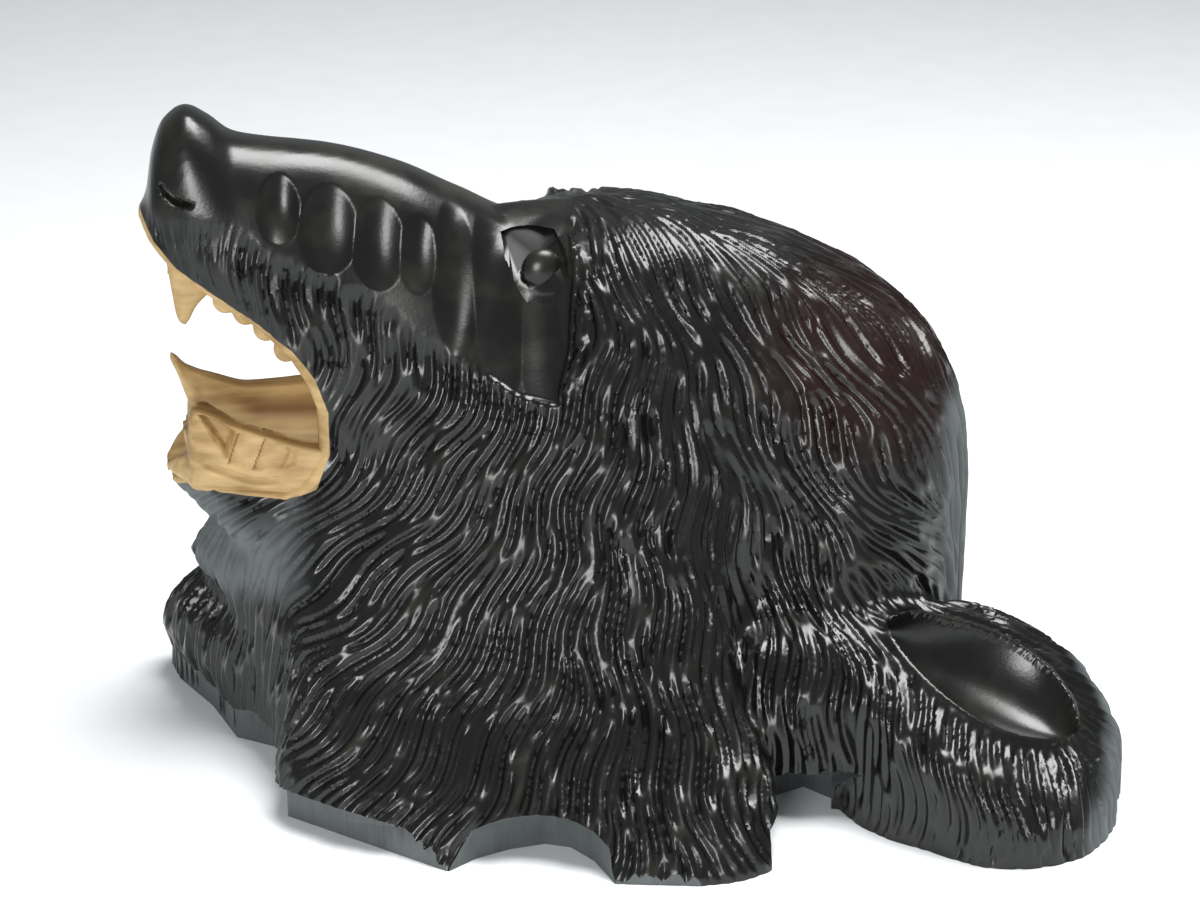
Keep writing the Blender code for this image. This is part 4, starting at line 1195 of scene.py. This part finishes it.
def part_tree():
    """Keeps one numbered part of the carving."""
    tree, given = tree_with("take_part", [("Part", "NodeSocketInt")])
    number = add_node(tree, "GeometryNodeInputNamedAttribute", {0: "part"}, data_type="INT").outputs[0]
    other = add_node(tree, "FunctionNodeCompare", {2: number, 3: given["Part"]}, data_type="INT",
                     operation="NOT_EQUAL").outputs[0]
    kept = add_node(tree, "GeometryNodeDeleteGeometry", {0: given["Geometry"], 1: other},
                    domain="FACE").outputs[0]
    # The faces keep their two finishes, so no material is set here
    real = add_node(tree, "GeometryNodeRealizeInstances", {0: kept}).outputs[0]
    add_node(tree, "NodeGroupOutput", {0: real})
    return tree


def sawn_outline():
    """Outline that the block is sawn to, with its scoops between the tufts."""
    near = [
        (-168, 39),
        (-155, 12),
        (-146, -17),
        (-129, -29),
        (-121, -45),
        (-122, -62),
        (-129, -83),
        (-74, -132),
        (-63, -124),
        (-50, -119),
        (-37, -117),
        (-28, -121),
        (-21, -132),
        (-16, -149),
        (30, -158),
        (41, -150),
        (43, -122),
        (46, -103),
        (54, -93),
        (65, -88),
        (74, -99),
        (72, -105),
        (66, -170),
        (200, -170),
    ]
    far = [(x, -y) for x, y in reversed(near[6:])]
    return near + far + [(-146, 62), (-171, 55)]


def sawn_waste(s):
    """Wood outside the outline, taken away in a cove that opens out at its top."""
    height = s.scoop_height
    waste = block((0, 0, height / 2 - SPARE_WOOD), (600, 600, height + 2 * SPARE_WOOD))
    cove = [(-4 * SPARE_WOOD, 1.0), (height * 0.6, 1.0), (height * 0.9, 1.08), (height * 1.3, 1.25)]
    rings = []
    for level, spread in cove:
        rings.append([(x * spread, y * spread, level) for x, y in sawn_outline()])
    return boolean(waste, loft(rings))


# Materials

# Value of the attribute "bare" on the line between lacquer and bare wood
BARE_LEVEL = 5.0


def new_material(name):
    material = bpy.data.materials.new(name)
    material.use_nodes = True
    tree = material.node_tree
    return material, tree, tree.nodes["Principled BSDF"]


def black_lacquer(finish):
    """Black lacquer on carved wood: glossy, thinned through on some locks' backs, which also carry a painted
    sheen, and duller in the grooves.
    """
    material, tree, shader = new_material("black_lacquer_on_carved_wood")
    place = add_node(tree, "ShaderNodeTexCoord").outputs["Object"]
    groove = add_node(tree, "ShaderNodeAttribute", attribute_name="groove").outputs["Fac"]
    bare = add_node(tree, "ShaderNodeAttribute", attribute_name="bare").outputs["Fac"]
    matt = add_node(tree, "ShaderNodeAttribute", attribute_name="matt").outputs["Fac"]
    warm = add_node(tree, "ShaderNodeAttribute", attribute_name="warm").outputs["Fac"]
    # Cloudy patches of thinned lacquer and painted sheen on the backs of the locks, a few centimetres across
    cloud = add_node(tree, "ShaderNodeTexNoise", {0: place, 2: 45.0, 3: 3.0}).outputs["Fac"]
    back = add_node(tree, "ShaderNodeMapRange", {0: groove, 1: 0.0, 2: 0.2, 3: 1.0, 4: 0.0}).outputs[0]
    wear_and_painted_light = add_node(tree, "ShaderNodeMapRange", {0: cloud, 1: 0.5, 2: 0.75, 4: 0.6}).outputs[0]
    wear_and_sheen = add_node(tree, "ShaderNodeMath", {0: back, 1: wear_and_painted_light}, operation="MULTIPLY").outputs[0]
    black = add_node(tree, "ShaderNodeMix", {0: warm, 6: (*finish.lacquer, 1), 7: (*finish.warm, 1)},
                     data_type="RGBA").outputs[2]
    greyed = add_node(tree, "ShaderNodeMix", {0: matt, 6: black, 7: (*finish.stain, 1)},
                      data_type="RGBA").outputs[2]
    worn_and_sheen = add_node(tree, "ShaderNodeMix", {0: wear_and_sheen, 6: greyed, 7: (*finish.worn_and_sheen, 1)},
                    data_type="RGBA").outputs[2]
    # Bare wood inside the mouth and on the lip's edge
    cut = add_node(tree, "ShaderNodeMapRange",
                   {0: bare, 1: BARE_LEVEL - 0.1, 2: BARE_LEVEL + 0.1}).outputs[0]
    wood = bare_grain(tree, place, finish)
    both = add_node(tree, "ShaderNodeMix", {0: cut, 6: worn_and_sheen, 7: wood}, data_type="RGBA").outputs[2]
    tree.links.new(both, shader.inputs["Base Color"])
    gloss = add_node(tree, "ShaderNodeMapRange", {0: cloud, 1: 0.3, 2: 0.75, 3: 0.2, 4: 0.34}).outputs[0]
    deep = add_node(tree, "ShaderNodeMapRange", {0: groove, 1: 0.7, 2: 1.0}).outputs[0]
    dusty = add_node(tree, "ShaderNodeMix", {0: deep, 2: gloss, 3: 0.6}, data_type="FLOAT").outputs[0]
    dull = add_node(tree, "ShaderNodeMix", {0: matt, 2: dusty, 3: 0.6}, data_type="FLOAT").outputs[0]
    rough = add_node(tree, "ShaderNodeMix", {0: cut, 2: dull, 3: 0.62}, data_type="FLOAT").outputs[0]
    tree.links.new(rough, shader.inputs["Roughness"])
    # Brush drag and specks of dust under the lacquer, under a millimetre across
    drag = add_node(tree, "ShaderNodeTexNoise", {0: place, 2: 900.0, 3: 2.0}).outputs["Fac"]
    bump = add_node(tree, "ShaderNodeBump",
                    {"Strength": 0.12, "Distance": 0.0003, "Height": drag}).outputs[0]
    tree.links.new(bump, shader.inputs["Normal"])
    shader.inputs["IOR"].default_value = 1.5
    return material


def bare_grain(tree, place, finish):
    """Colour of the bare wood: fine straight grain along the head, with darker patches."""
    stretched = add_node(tree, "ShaderNodeMapping", {0: place, 3: (25.0, 260.0, 260.0)}).outputs[0]
    grain = add_node(tree, "ShaderNodeTexNoise", {0: stretched, 2: 1.0, 3: 4.0}).outputs["Fac"]
    patch = add_node(tree, "ShaderNodeTexNoise", {0: place, 2: 40.0, 3: 2.0}).outputs["Fac"]
    mixed = add_node(tree, "ShaderNodeMath", {0: grain, 1: patch}, operation="MULTIPLY").outputs[0]
    share = add_node(tree, "ShaderNodeMapRange", {0: mixed, 1: 0.16, 2: 0.4}).outputs[0]
    return add_node(tree, "ShaderNodeMix", {0: share, 6: (*finish.wood, 1), 7: (*finish.wood_dark, 1)},
                    data_type="RGBA").outputs[2]


def bare_wood(finish):
    """Planed and chiselled linden or birch, unvarnished: pale honey, soft sheen."""
    material, tree, shader = new_material("bare_chiselled_wood")
    place = add_node(tree, "ShaderNodeTexCoord").outputs["Object"]
    # Painted shade: brown darkening in the hollow along the tongue's side
    wear_and_painted_light = add_node(tree, "ShaderNodeAttribute", attribute_name="brown").outputs["Fac"]
    shaded = add_node(tree, "ShaderNodeMix", {0: wear_and_painted_light, 6: bare_grain(tree, place, finish),
                                              7: (*finish.wood_brown, 1)}, data_type="RGBA").outputs[2]
    tree.links.new(shaded, shader.inputs["Base Color"])
    fibre = add_node(tree, "ShaderNodeMapping", {0: place, 3: (120.0, 1400.0, 1400.0)}).outputs[0]
    fuzz = add_node(tree, "ShaderNodeTexNoise", {0: fibre, 2: 1.0, 3: 3.0}).outputs["Fac"]
    bump = add_node(tree, "ShaderNodeBump",
                    {"Strength": 0.25, "Distance": 0.0003, "Height": fuzz}).outputs[0]
    tree.links.new(bump, shader.inputs["Normal"])
    shader.inputs["Roughness"].default_value = 0.58
    return material


def sawn_stain(finish):
    """Matt grey-black stain on band-sawn end wood, with the saw's fine lines."""
    material, tree, shader = new_material("stained_sawn_wood")
    place = add_node(tree, "ShaderNodeTexCoord").outputs["Object"]
    lines = add_node(tree, "ShaderNodeMapping", {0: place, 3: (500.0, 500.0, 60.0)}).outputs[0]
    saw = add_node(tree, "ShaderNodeTexNoise", {0: lines, 2: 1.0, 3: 3.0}).outputs["Fac"]
    cloud = add_node(tree, "ShaderNodeTexNoise", {0: place, 2: 60.0, 3: 3.0}).outputs["Fac"]
    share = add_node(tree, "ShaderNodeMath", {0: saw, 1: cloud}, operation="MULTIPLY").outputs[0]
    tone = add_node(tree, "ShaderNodeMix", {0: share, 6: (*finish.stain, 1), 7: (*finish.lacquer, 1)},
                    data_type="RGBA").outputs[2]
    tree.links.new(tone, shader.inputs["Base Color"])
    bump = add_node(tree, "ShaderNodeBump", {"Strength": 0.15, "Distance": 0.0004, "Height": saw}).outputs[0]
    tree.links.new(bump, shader.inputs["Normal"])
    shader.inputs["Roughness"].default_value = 0.62
    return material


def pale_board(stage):
    """Smooth white card under and behind the head."""
    material, tree, shader = new_material("white_card")
    place = add_node(tree, "ShaderNodeTexCoord").outputs["Object"]
    fibre = add_node(tree, "ShaderNodeTexNoise", {0: place, 2: 30.0, 3: 4.0}).outputs["Fac"]
    tone = add_node(tree, "ShaderNodeMapRange", {0: fibre, 1: 0.3, 2: 0.7, 3: 0.97, 4: 1.0}).outputs[0]
    shade = add_node(tree, "ShaderNodeMix", {0: 1.0, 6: (*stage.floor, 1), 7: tone}, data_type="RGBA",
                     blend_type="MULTIPLY").outputs[2]
    tree.links.new(shade, shader.inputs["Base Color"])
    shader.inputs["Roughness"].default_value = 0.7
    return material


# Operators

def rest_on_frame(piece):
    """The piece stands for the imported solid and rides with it."""
    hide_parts(NODE)
    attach(piece, "root")


def frame_fit(points):
    """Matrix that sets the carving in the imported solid's box, drawn in on an axis where it is larger."""
    low = points.min(0)
    high = points.max(0)
    scale = np.minimum((np.array(HIGH) - np.array(LOW)) / (high - low), 1.0)
    shift = (np.array(HIGH) + np.array(LOW)) / 2 - (high + low) / 2 * scale
    shift[2] = LOW[2] - low[2] * scale[2]
    return Matrix.Translation(shift) @ Matrix.Diagonal((*scale, 1.0))


def mark_finish(mesh, surface, bare):
    """Write on the points where the wood is bare, where the lacquer is matt and where it is warm."""
    x, y, z = surface.points.T
    across, up = picture_place(surface.points)
    front = ramp(-surface.normals[:, 0], 0.2, 0.6)
    chin = (1 - ramp(across, -128, -105)) * (1 - ramp(up, 0, 6)) * ramp(up, -62, -48) * front
    end_wall = ramp(surface.normals[:, 0], 0.5, 0.8) * ramp(x, 120, 130) * (1 - ramp(z, 130, 145))
    warm_gap = np.hypot(across - 104, (up - 36) * 1.1)
    # Shifted so that a face without the attribute, such as a cut, counts as lacquered
    write_attribute(mesh, "bare", bare + BARE_LEVEL)
    write_attribute(mesh, "matt", np.clip(chin + end_wall, 0, 1))
    write_attribute(mesh, "warm", 1 - ramp(warm_gap, 25, 60))


def with_fur(mesh, surface, hair, f, lacquer):
    """The mesh with bundles of locks cut in it first, and then every lock."""
    fade_points = 6.0
    comb_rounds = 4
    groove = {"Steep Share": 0.4, "Easy Share": 0.66, "Lacquer": lacquer}
    spacing = lock_spacings(f, surface.points)
    heading = hair_headings(f, surface.points, surface.normals)
    plain = surface.points * MM
    write_vectors(mesh, "plain", plain)
    tree = fur_tree()
    for locks, depth, seed in (
        (f.clump_locks, f.clump_depth, f.seed + 1),
        (1.0, f.groove_depth, f.seed),
    ):
        shortest = 34 + 8 * locks
        longest = 70 + 10 * locks
        strokes = Strokes(surface, heading, spacing * locks, seed)
        strokes.cover(hair, shortest, longest)
        lines = stroke_object(strokes, fade_points)
        depths = groove_depths(f, surface.points, spacing, depth) * hair
        write_attribute(mesh, "lock_spacing", spacing * locks * MM)
        write_attribute(mesh, "groove_depth", depths * MM)
        body = new_object("carving", mesh)
        mesh = carved(body, tree, {"Strokes": lines, **groove})
        bpy.data.objects.remove(body)
        bpy.data.objects.remove(lines)
    comb_smooth(mesh, plain, heading, comb_rounds)
    return mesh


def recut(mesh, form, material, operation):
    """The mesh in metres with a form in millimetres cut out or added, its faces in one material."""
    form.transform(Matrix.Scale(MM, 4))
    form.materials.clear()
    form.materials.append(material)
    return boolean(mesh, form, "MANIFOLD", operation)


class BEARHEAD_OT_carve_head(bpy.types.Operator):
    """Carve the head: its forms, facets and hollows, then every lock of fur"""

    bl_idname = "bearhead.carve_head"
    bl_label = "Carve Head"

    def execute(self, context):
        scene = context.scene
        s = millimetres(scene.bear_head_sizes)
        m = millimetres(scene.bear_mouth_sizes)
        f = millimetres(scene.bear_fur_sizes)
        finish = scene.bear_finish
        lacquer = black_lacquer(finish)
        stain = sawn_stain(finish)
        surface = hollowed(s, f, carved_form(s, m, coarseness()))
        x, y, z = surface.points.T
        # Bare wood shows in a band along the lips, broader towards the mouth's corner
        bare = outline_depth(gape_outline(s, m), x, z) + 2.0 + 1.5 * ramp(x, -126, -112)
        furry = (1 - bare_face(surface.points)) * (1 - ramp(bare, -0.5, 0.8))
        hair = furry * (1 - in_ear_bowls(s, surface)) * (z > -2)
        sockets = [eye_socket(s, surface, side) for side in SIDES]
        eyeballs = [eyeball(s, surface, side) for side in SIDES]
        mesh = surface.mesh
        mark_finish(mesh, surface, bare)
        mesh.transform(Matrix.Scale(MM, 4))
        mesh = with_fur(mesh, surface, hair, f, lacquer)
        for socket, globe in zip(sockets, eyeballs):
            # The hollow is as dull as the bottom of a groove
            write_attribute(socket, "groove", np.ones(len(socket.vertices)))
            mesh = recut(mesh, socket, lacquer, "DIFFERENCE")
            mesh = recut(mesh, globe, lacquer, "UNION")
        below_floor = block((0, 0, -100), (700, 700, 200))
        for cutter in (sawn_waste(s), below_floor):
            mesh = recut(mesh, cutter, stain, "DIFFERENCE")
        fit = frame_fit(np.array([v.co for v in mesh.vertices]))
        scene["bear_fit"] = [value for row in fit for value in row]
        mesh.transform(fit)
        split_into_pieces(mesh)
        return {"FINISHED"}


def comb_smooth(mesh, plain, heading, rounds):
    """Smooth what was cut from the plain points, along the hair only, so that grooves stay sharp."""
    corners = np.empty(len(mesh.polygons) * 4, dtype=np.int32)
    mesh.polygons.foreach_get("vertices", corners)
    corners = corners.reshape(-1, 4)
    edges = np.empty(len(mesh.edges) * 2, dtype=np.int32)
    mesh.edges.foreach_get("vertices", edges)
    # Neighbours along every edge and across every face, which has four corners
    pairs = np.concatenate([edges.reshape(-1, 2), corners[:, (0, 2)], corners[:, (1, 3)]])
    a, b = pairs.T
    run = plain[b] - plain[a]
    run /= np.maximum(np.linalg.norm(run, axis=1), 1e-9)[:, None]
    # A pair counts only if it lies along the hair
    share = np.abs((run * (heading[a] + heading[b])).sum(1) / 2) ** 8
    total = 1 + np.bincount(a, share, len(plain)) + np.bincount(b, share, len(plain))
    points = np.empty(len(plain) * 3, dtype=np.float32)
    mesh.vertices.foreach_get("co", points)
    cut = points.reshape(-1, 3) - plain
    groove = np.empty(len(plain), dtype=np.float32)
    mesh.attributes["groove"].data.foreach_get("value", groove)
    values = np.concatenate([cut, groove[:, None]], 1).astype(float)
    for _ in range(rounds):
        mixed = values.copy()
        for axis in range(4):
            mixed[:, axis] += np.bincount(a, share * values[b, axis], len(plain))
            mixed[:, axis] += np.bincount(b, share * values[a, axis], len(plain))
        values = mixed / total[:, None]
    mesh.vertices.foreach_set("co", (plain + values[:, :3]).astype(np.float32).ravel())
    mesh.attributes["groove"].data.foreach_set("value", values[:, 3].astype(np.float32))
    mesh.update()


def split_into_pieces(mesh):
    """The carving in pieces that export whole, with the shading of the uncut carving."""
    for polygon in mesh.polygons:
        polygon.use_smooth = True
    mesh.set_sharp_from_angle(angle=math.radians(60))
    count = len(mesh.loops)
    normals = np.empty(count * 3, dtype=np.float32)
    mesh.corner_normals.foreach_get("vector", normals)
    kept = mesh.attributes.new("carved_normal", "FLOAT_VECTOR", "CORNER")
    kept.data.foreach_set("vector", normals)
    centres = np.empty(len(mesh.polygons) * 3, dtype=np.float32)
    mesh.polygons.foreach_get("center", centres)
    x, y, z = centres.reshape(-1, 3).T / MM
    names = ["throat", "cheek", "mane", "crown", "ear"]
    borders = [-85, -20, 35, 85]
    part = np.digitize(x, borders) + len(names) * (y > 0)
    number = mesh.attributes.new("part", "INT", "FACE")
    number.data.foreach_set("value", part.astype(np.int32))
    whole = new_object("whole", mesh)
    tree = part_tree()
    for side, label in enumerate(("near", "far")):
        for k, name in enumerate(names):
            piece_mesh = carved(whole, tree, {"Part": side * len(names) + k})
            loops = np.empty(len(piece_mesh.loops) * 3, dtype=np.float32)
            piece_mesh.attributes["carved_normal"].data.foreach_get("vector", loops)
            piece_mesh.attributes.remove(piece_mesh.attributes["carved_normal"])
            piece_mesh.attributes.remove(piece_mesh.attributes["part"])
            piece_mesh.normals_split_custom_set(loops.reshape(-1, 3))
            piece = new_object(f"{label}_{name}", piece_mesh)
            rest_on_frame(piece)
    bpy.data.objects.remove(whole)


def mirrored_ring(x, half):
    """Closed ring at x from half a section of points (y, z), from its bottom middle to its top."""
    other = [(-y, z) for y, z in half[-2:0:-1]]
    return [(x, y, z) for y, z in half + other]


def tongue_form(s, m):
    """Tongue like a boat's prow, arched across, that swells into the gum below it."""
    front = -s.lip_reach + 8.5
    tip = m.tongue_tip
    foot_height = m.lower_lip + 9
    rings = []
    for back in np.linspace(0, 60, 60):
        ridge = smooth_line([(0, tip), (2, tip - 1.5), (5.5, tip - 5.5), (14.5, tip - 9.5), (29.5, tip - 14),
                             (45, tip - 13.5), (60, tip - 12)], back)
        low = smooth_line([(0, tip - 3), (2.5, tip - 8), (5.5, tip - 17), (8, tip - 22),
                           (12, foot_height), (60, foot_height)], back)
        width = m.tongue_half_width * smooth_line([(0, 0.12), (3, 0.4), (8, 0.7), (18, 1.0), (34, 1.25),
                                                   (60, 1.5)], back)
        rise = ridge - low
        hollow = smooth_line([(0, 0), (18, 0.4), (30, 2.2), (45, 2.6), (60, 2.6)], back)
        rings.append(mirrored_ring(front + back, [
            (0, low),
            (width * 0.7, low),
            (width, low + 0.1 * rise),
            (width * 0.93, low + 0.35 * rise),
            (width * 0.76 - hollow * 0.4, low + 0.64 * rise),
            (width * 0.52 - hollow, low + 0.84 * rise),
            (width * 0.28 - hollow * 0.3, low + 0.98 * rise),
            (0, ridge),
        ]))
    return loft(rings)


def gum_form(m):
    """Gum with the lower teeth on its sides, flush with the jaw below it."""
    lip = m.lower_lip
    crown = m.gum_height
    rings = []
    for back in np.concatenate([np.linspace(0, 8.2, 12), np.linspace(8.8, 60, 80)]):
        top = lip + crown * smooth_line([(0, 0.02), (4, 0.2), (8.2, 0.36), (9.4, 0.98), (11, 1.1),
                                         (27, 0.84), (50, 0.56), (60, 0.5)], back)
        width = m.gum_half_width * smooth_line([(0, 0.2), (3, 0.48), (8, 0.76), (9.5, 0.88), (14, 0.95),
                                                (20, 1.0), (35, 1.12), (50, 1.24), (60, 1.32)], back)
        low = lip - smooth_line([(0, 1.8), (4, 3), (12, 6), (60, 9)], back)
        rings.append(mirrored_ring(-m.lower_reach - 1.5 + back, [
            (0, low),
            (width * 0.85, low),
            (width, lip + 0.3 * (low - lip)),
            (width - 0.4, (lip + top) / 2),
            (width - 1.2, top - 0.8),
            (width - 2.8, top),
            (width * 0.5, top - 0.06 * crown),
            (0, top - 0.25 * crown),
        ]))
    return loft(rings)


def upper_lip_height(s, m, x):
    return smooth_line([*upper_lip_edge(s, m), (-m.corner - 4, m.upper_back)], x)


def upper_canine(s, m, side):
    """Broad blade that hangs from the upper lip, its back edge hollow."""
    front = -s.lip_reach + 9
    angle = np.radians(np.arange(0, 360, 10))
    rings = []
    for share in np.concatenate([np.linspace(0, 0.9, 26), [0.94, 0.97, 0.99, 1.0]]):
        fore = front + smooth_line([(0, 0), (0.5, 1.6), (0.85, 2.9), (0.95, 3.9), (1, 5.6)], share)
        rear = front + smooth_line([(0, 18), (0.5, 17), (0.62, 13.5), (0.75, 10.2), (0.9, 8),
                                    (1, 6.2)], share)
        thick = m.canine_radius * smooth_line([(0, 0.88), (0.5, 0.73), (0.9, 0.42), (1, 0.06)], share)
        x = (fore + rear) / 2 + (rear - fore) / 2 * round_power(np.cos(angle), 0.8)
        y = side * (s.lip_half_width - 13 + 5 * share) + thick * np.sin(angle)
        rings.append(np.stack([x, y, 0 * x + m.upper_front + 1 - m.canine_length * share], 1))
    return loft(rings)


def mouth_forms(s, m):
    """Gum, tongue and upper teeth, all cut from the same block."""
    forms = [tongue_form(s, m), gum_form(m)]
    first_molar = -s.lip_reach + 30
    molar = (m.molar_length * 0.5, m.molar_length * 0.35, m.molar_height * 0.75)
    for side in SIDES:
        forms.append(upper_canine(s, m, side))
        for k in range(4):
            x = first_molar + m.molar_length * 0.75 * k
            place = (x, side * (s.lip_half_width - 6), upper_lip_height(s, m, x) + 2.5)
            forms.append(ball(place, 1.0, molar))
        for k in range(2):
            y = side * m.incisor_width * (0.55 + 1.1 * k)
            place = (-s.lip_reach + 13 + 1.5 * k, y, m.upper_front - 4)
            forms.append(block(place, (4, m.incisor_width, 2 * m.molar_height), 14))
            y = side * m.incisor_width * (0.5 + k)
            place = (-m.lower_reach + 7.5 + 1.2 * k, y, m.lower_lip + m.gum_height * 0.36)
            forms.append(block(place, (3.5, m.incisor_width * 0.86, m.gum_height * 0.42), -6))
    return forms


def line_gap(x, z, start, end):
    """Distance of each place in side view from a line between two points."""
    run = np.array(end, dtype=float) - np.array(start, dtype=float)
    along = ((x - start[0]) * run[0] + (z - start[1]) * run[1]) / (run @ run)
    along = np.clip(along, 0, 1)
    return np.hypot(x - start[0] - along * run[0], z - start[1] - along * run[1])


def lower_teeth(m, x, z):
    """Depth of the cuts that leave the lower canine and molars standing on the gum."""
    lip = m.lower_lip
    behind_canine = [(-154.8, lip + 26), (-151, lip + 26), (-140, lip + 19.5), (-144.3, lip + 7.5)]
    hollow = outline_depth(behind_canine, x, z)
    depth = np.clip(hollow * 2.6, 0, 5.5)
    # Each molar is a panel that sinks towards the tooth in front of it
    edges = [((-139.8, lip + 19), (-144, lip + 7)), ((-130, lip + 17), (-135, lip + 4.5)),
             ((-121.5, lip + 14.5), (-126, lip + 3.5))]
    for (high, low), (next_high, next_low) in zip(edges, edges[1:]):
        panel = outline_depth([high, next_high, next_low, low], x, z)
        width = next_high[0] - high[0]
        share = np.clip(line_gap(x, z, high, low) / width, 0, 1)
        depth = np.maximum(depth, np.clip(panel * 4.0, 0, 1.0) * (2.4 - 1.9 * share))
    last = outline_depth([edges[2][0], (-117, lip + 13.5), (-119, lip + 6), edges[2][1]], x, z)
    depth = np.maximum(depth, np.clip(last * 0.8, 0, 1.8))
    shelf = smooth_line([(-170, lip + 9), (-156, lip + 8.5), (-144, lip + 4.5), (-133, lip + 1.5),
                         (-126, lip + 2.0)], x)
    under = np.clip((shelf - z) * 3.0, 0, 2.2) * ramp(x, -156, -151) * (1 - ramp(x, -127, -125))
    return np.maximum(depth, under * (1 - ramp(shelf - z, 0.8, 5)))


def painted_tongue_shade(x, y, z):
    """Share of brown painted shade in the slight hollow along the side of the tongue near the throat."""
    middle = smooth_line([(-145, 139), (-130, 135), (-112, 135)], x)
    return 0.8 * np.exp(-(((z - middle) / 3.2) ** 2)) * ramp(x, -143, -131) * (np.abs(y) < 22)


class BEARHEAD_OT_carve_mouth(bpy.types.Operator):
    """Carve the tongue, gum and teeth in bare wood"""

    bl_idname = "bearhead.carve_mouth"
    bl_label = "Carve Mouth"

    def execute(self, context):
        scene = context.scene
        s = millimetres(scene.bear_head_sizes)
        m = millimetres(scene.bear_mouth_sizes)
        surface = Surface(fused(mouth_forms(s, m), m.grain * coarseness()))
        surface.relax(np.ones(len(surface.points)), 2)
        x, y, z = surface.points.T
        # The lower teeth are cut straight into the gum's two outer walls
        outside = ramp(np.abs(surface.normals[:, 1]), 0.4, 0.7) * (surface.normals[:, 1] * y > 0)
        reached = z < m.lower_lip + 27
        surface.points[:, 1] -= np.sign(y) * lower_teeth(m, x, z) * outside * reached * (np.abs(y) > 8)
        surface.update()
        mesh = surface.mesh
        # Painted shade: brown darkening along the tongue's side, kept in the attribute brown
        write_attribute(mesh, "brown", painted_tongue_shade(x, y, z))
        for polygon in mesh.polygons:
            polygon.use_smooth = True
        mesh.set_sharp_from_angle(angle=math.radians(50))
        values = list(scene["bear_fit"])
        mesh.transform(Matrix([values[k:k + 4] for k in (0, 4, 8, 12)]) @ Matrix.Scale(MM, 4))
        mesh.materials.append(bare_wood(scene.bear_finish))
        rest_on_frame(new_object("mouth", mesh))
        return {"FINISHED"}


class BEARHEAD_OT_set_stage(bpy.types.Operator):
    """Set the pale floor, the soft lights and the camera at the photograph's angle"""

    bl_idname = "bearhead.set_stage"
    bl_label = "Set Stage"

    def execute(self, context):
        scene = context.scene
        stage = scene.bear_stage
        card = pale_board(stage)
        bm = bmesh.new()
        bmesh.ops.create_grid(bm, x_segments=1, y_segments=1, size=3.0)
        mesh = bpy.data.meshes.new("floor")
        bm.to_mesh(mesh)
        bm.free()
        mesh.materials.append(card)
        new_object("floor", mesh)
        world = bpy.data.worlds.new("room")
        world.use_nodes = True
        world.node_tree.nodes["Background"].inputs["Color"].default_value = (0.95, 0.97, 1.0, 1)
        world.node_tree.nodes["Background"].inputs["Strength"].default_value = stage.sky
        scene.world = world
        aim = Vector((scene["bear_fit"][3], 0.0, VIEW_HEIGHT * MM))
        for name, place, size, power in (
            ("ceiling_light", (0.25, -0.05, 1.35), 0.8, stage.key),
            ("window_light", (-0.62, -1.45, 0.42), 0.5, stage.fill),
        ):
            light = bpy.data.lights.new(name, "AREA")
            light.size = size
            light.energy = power
            lamp = bpy.data.objects.new(name, light)
            lamp.location = aim + Vector(place)
            lamp.rotation_euler = (-Vector(place)).to_track_quat("-Z", "Y").to_euler()
            scene.collection.objects.link(lamp)
        lens = bpy.data.cameras.new("camera")
        lens.lens = VIEW_LENS
        lens.sensor_width = 36.0
        camera = bpy.data.objects.new("camera", lens)
        camera.location = aim + Vector(TOWARDS) * VIEW_DISTANCE * MM
        camera.rotation_euler = Vector(TOWARDS).to_track_quat("Z", "Y").to_euler()
        scene.collection.objects.link(camera)
        scene.camera = camera
        scene.view_settings.view_transform = "Standard"
        return {"FINISHED"}


class BEARHEAD_PT_panel(bpy.types.Panel):
    bl_idname = "BEARHEAD_PT_panel"
    bl_label = "Carved Bear Head"
    bl_space_type = "VIEW_3D"
    bl_region_type = "UI"
    bl_category = "Bear Head"

    def draw(self, context):
        layout = self.layout
        for operator in OPERATORS:
            layout.operator(operator.bl_idname)
        for name in GROUPS:
            group = getattr(context.scene, name)
            box = layout.box()
            for prop in group.bl_rna.properties:
                if prop.identifier not in ("rna_type", "name"):
                    box.prop(group, prop.identifier)


OPERATORS = (BEARHEAD_OT_carve_head, BEARHEAD_OT_carve_mouth, BEARHEAD_OT_set_stage)
GROUPS = {
    "bear_head_sizes": HeadSizes,
    "bear_mouth_sizes": MouthSizes,
    "bear_fur_sizes": FurSizes,
    "bear_finish": Finish,
    "bear_stage": Stage,
}


def register():
    for group in GROUPS.values():
        bpy.utils.register_class(group)
    for operator in OPERATORS:
        bpy.utils.register_class(operator)
    bpy.utils.register_class(BEARHEAD_PT_panel)
    for name, group in GROUPS.items():
        setattr(bpy.types.Scene, name, bpy.props.PointerProperty(type=group))


def unregister():
    for name in GROUPS:
        delattr(bpy.types.Scene, name)
    bpy.utils.unregister_class(BEARHEAD_PT_panel)
    for operator in reversed(OPERATORS):
        bpy.utils.unregister_class(operator)
    for group in reversed(list(GROUPS.values())):
        bpy.utils.unregister_class(group)


def main():
    register()
    bpy.ops.bearhead.carve_head()
    bpy.ops.bearhead.carve_mouth()
    bpy.ops.bearhead.set_stage()


if __name__ == "__main__":
    main()
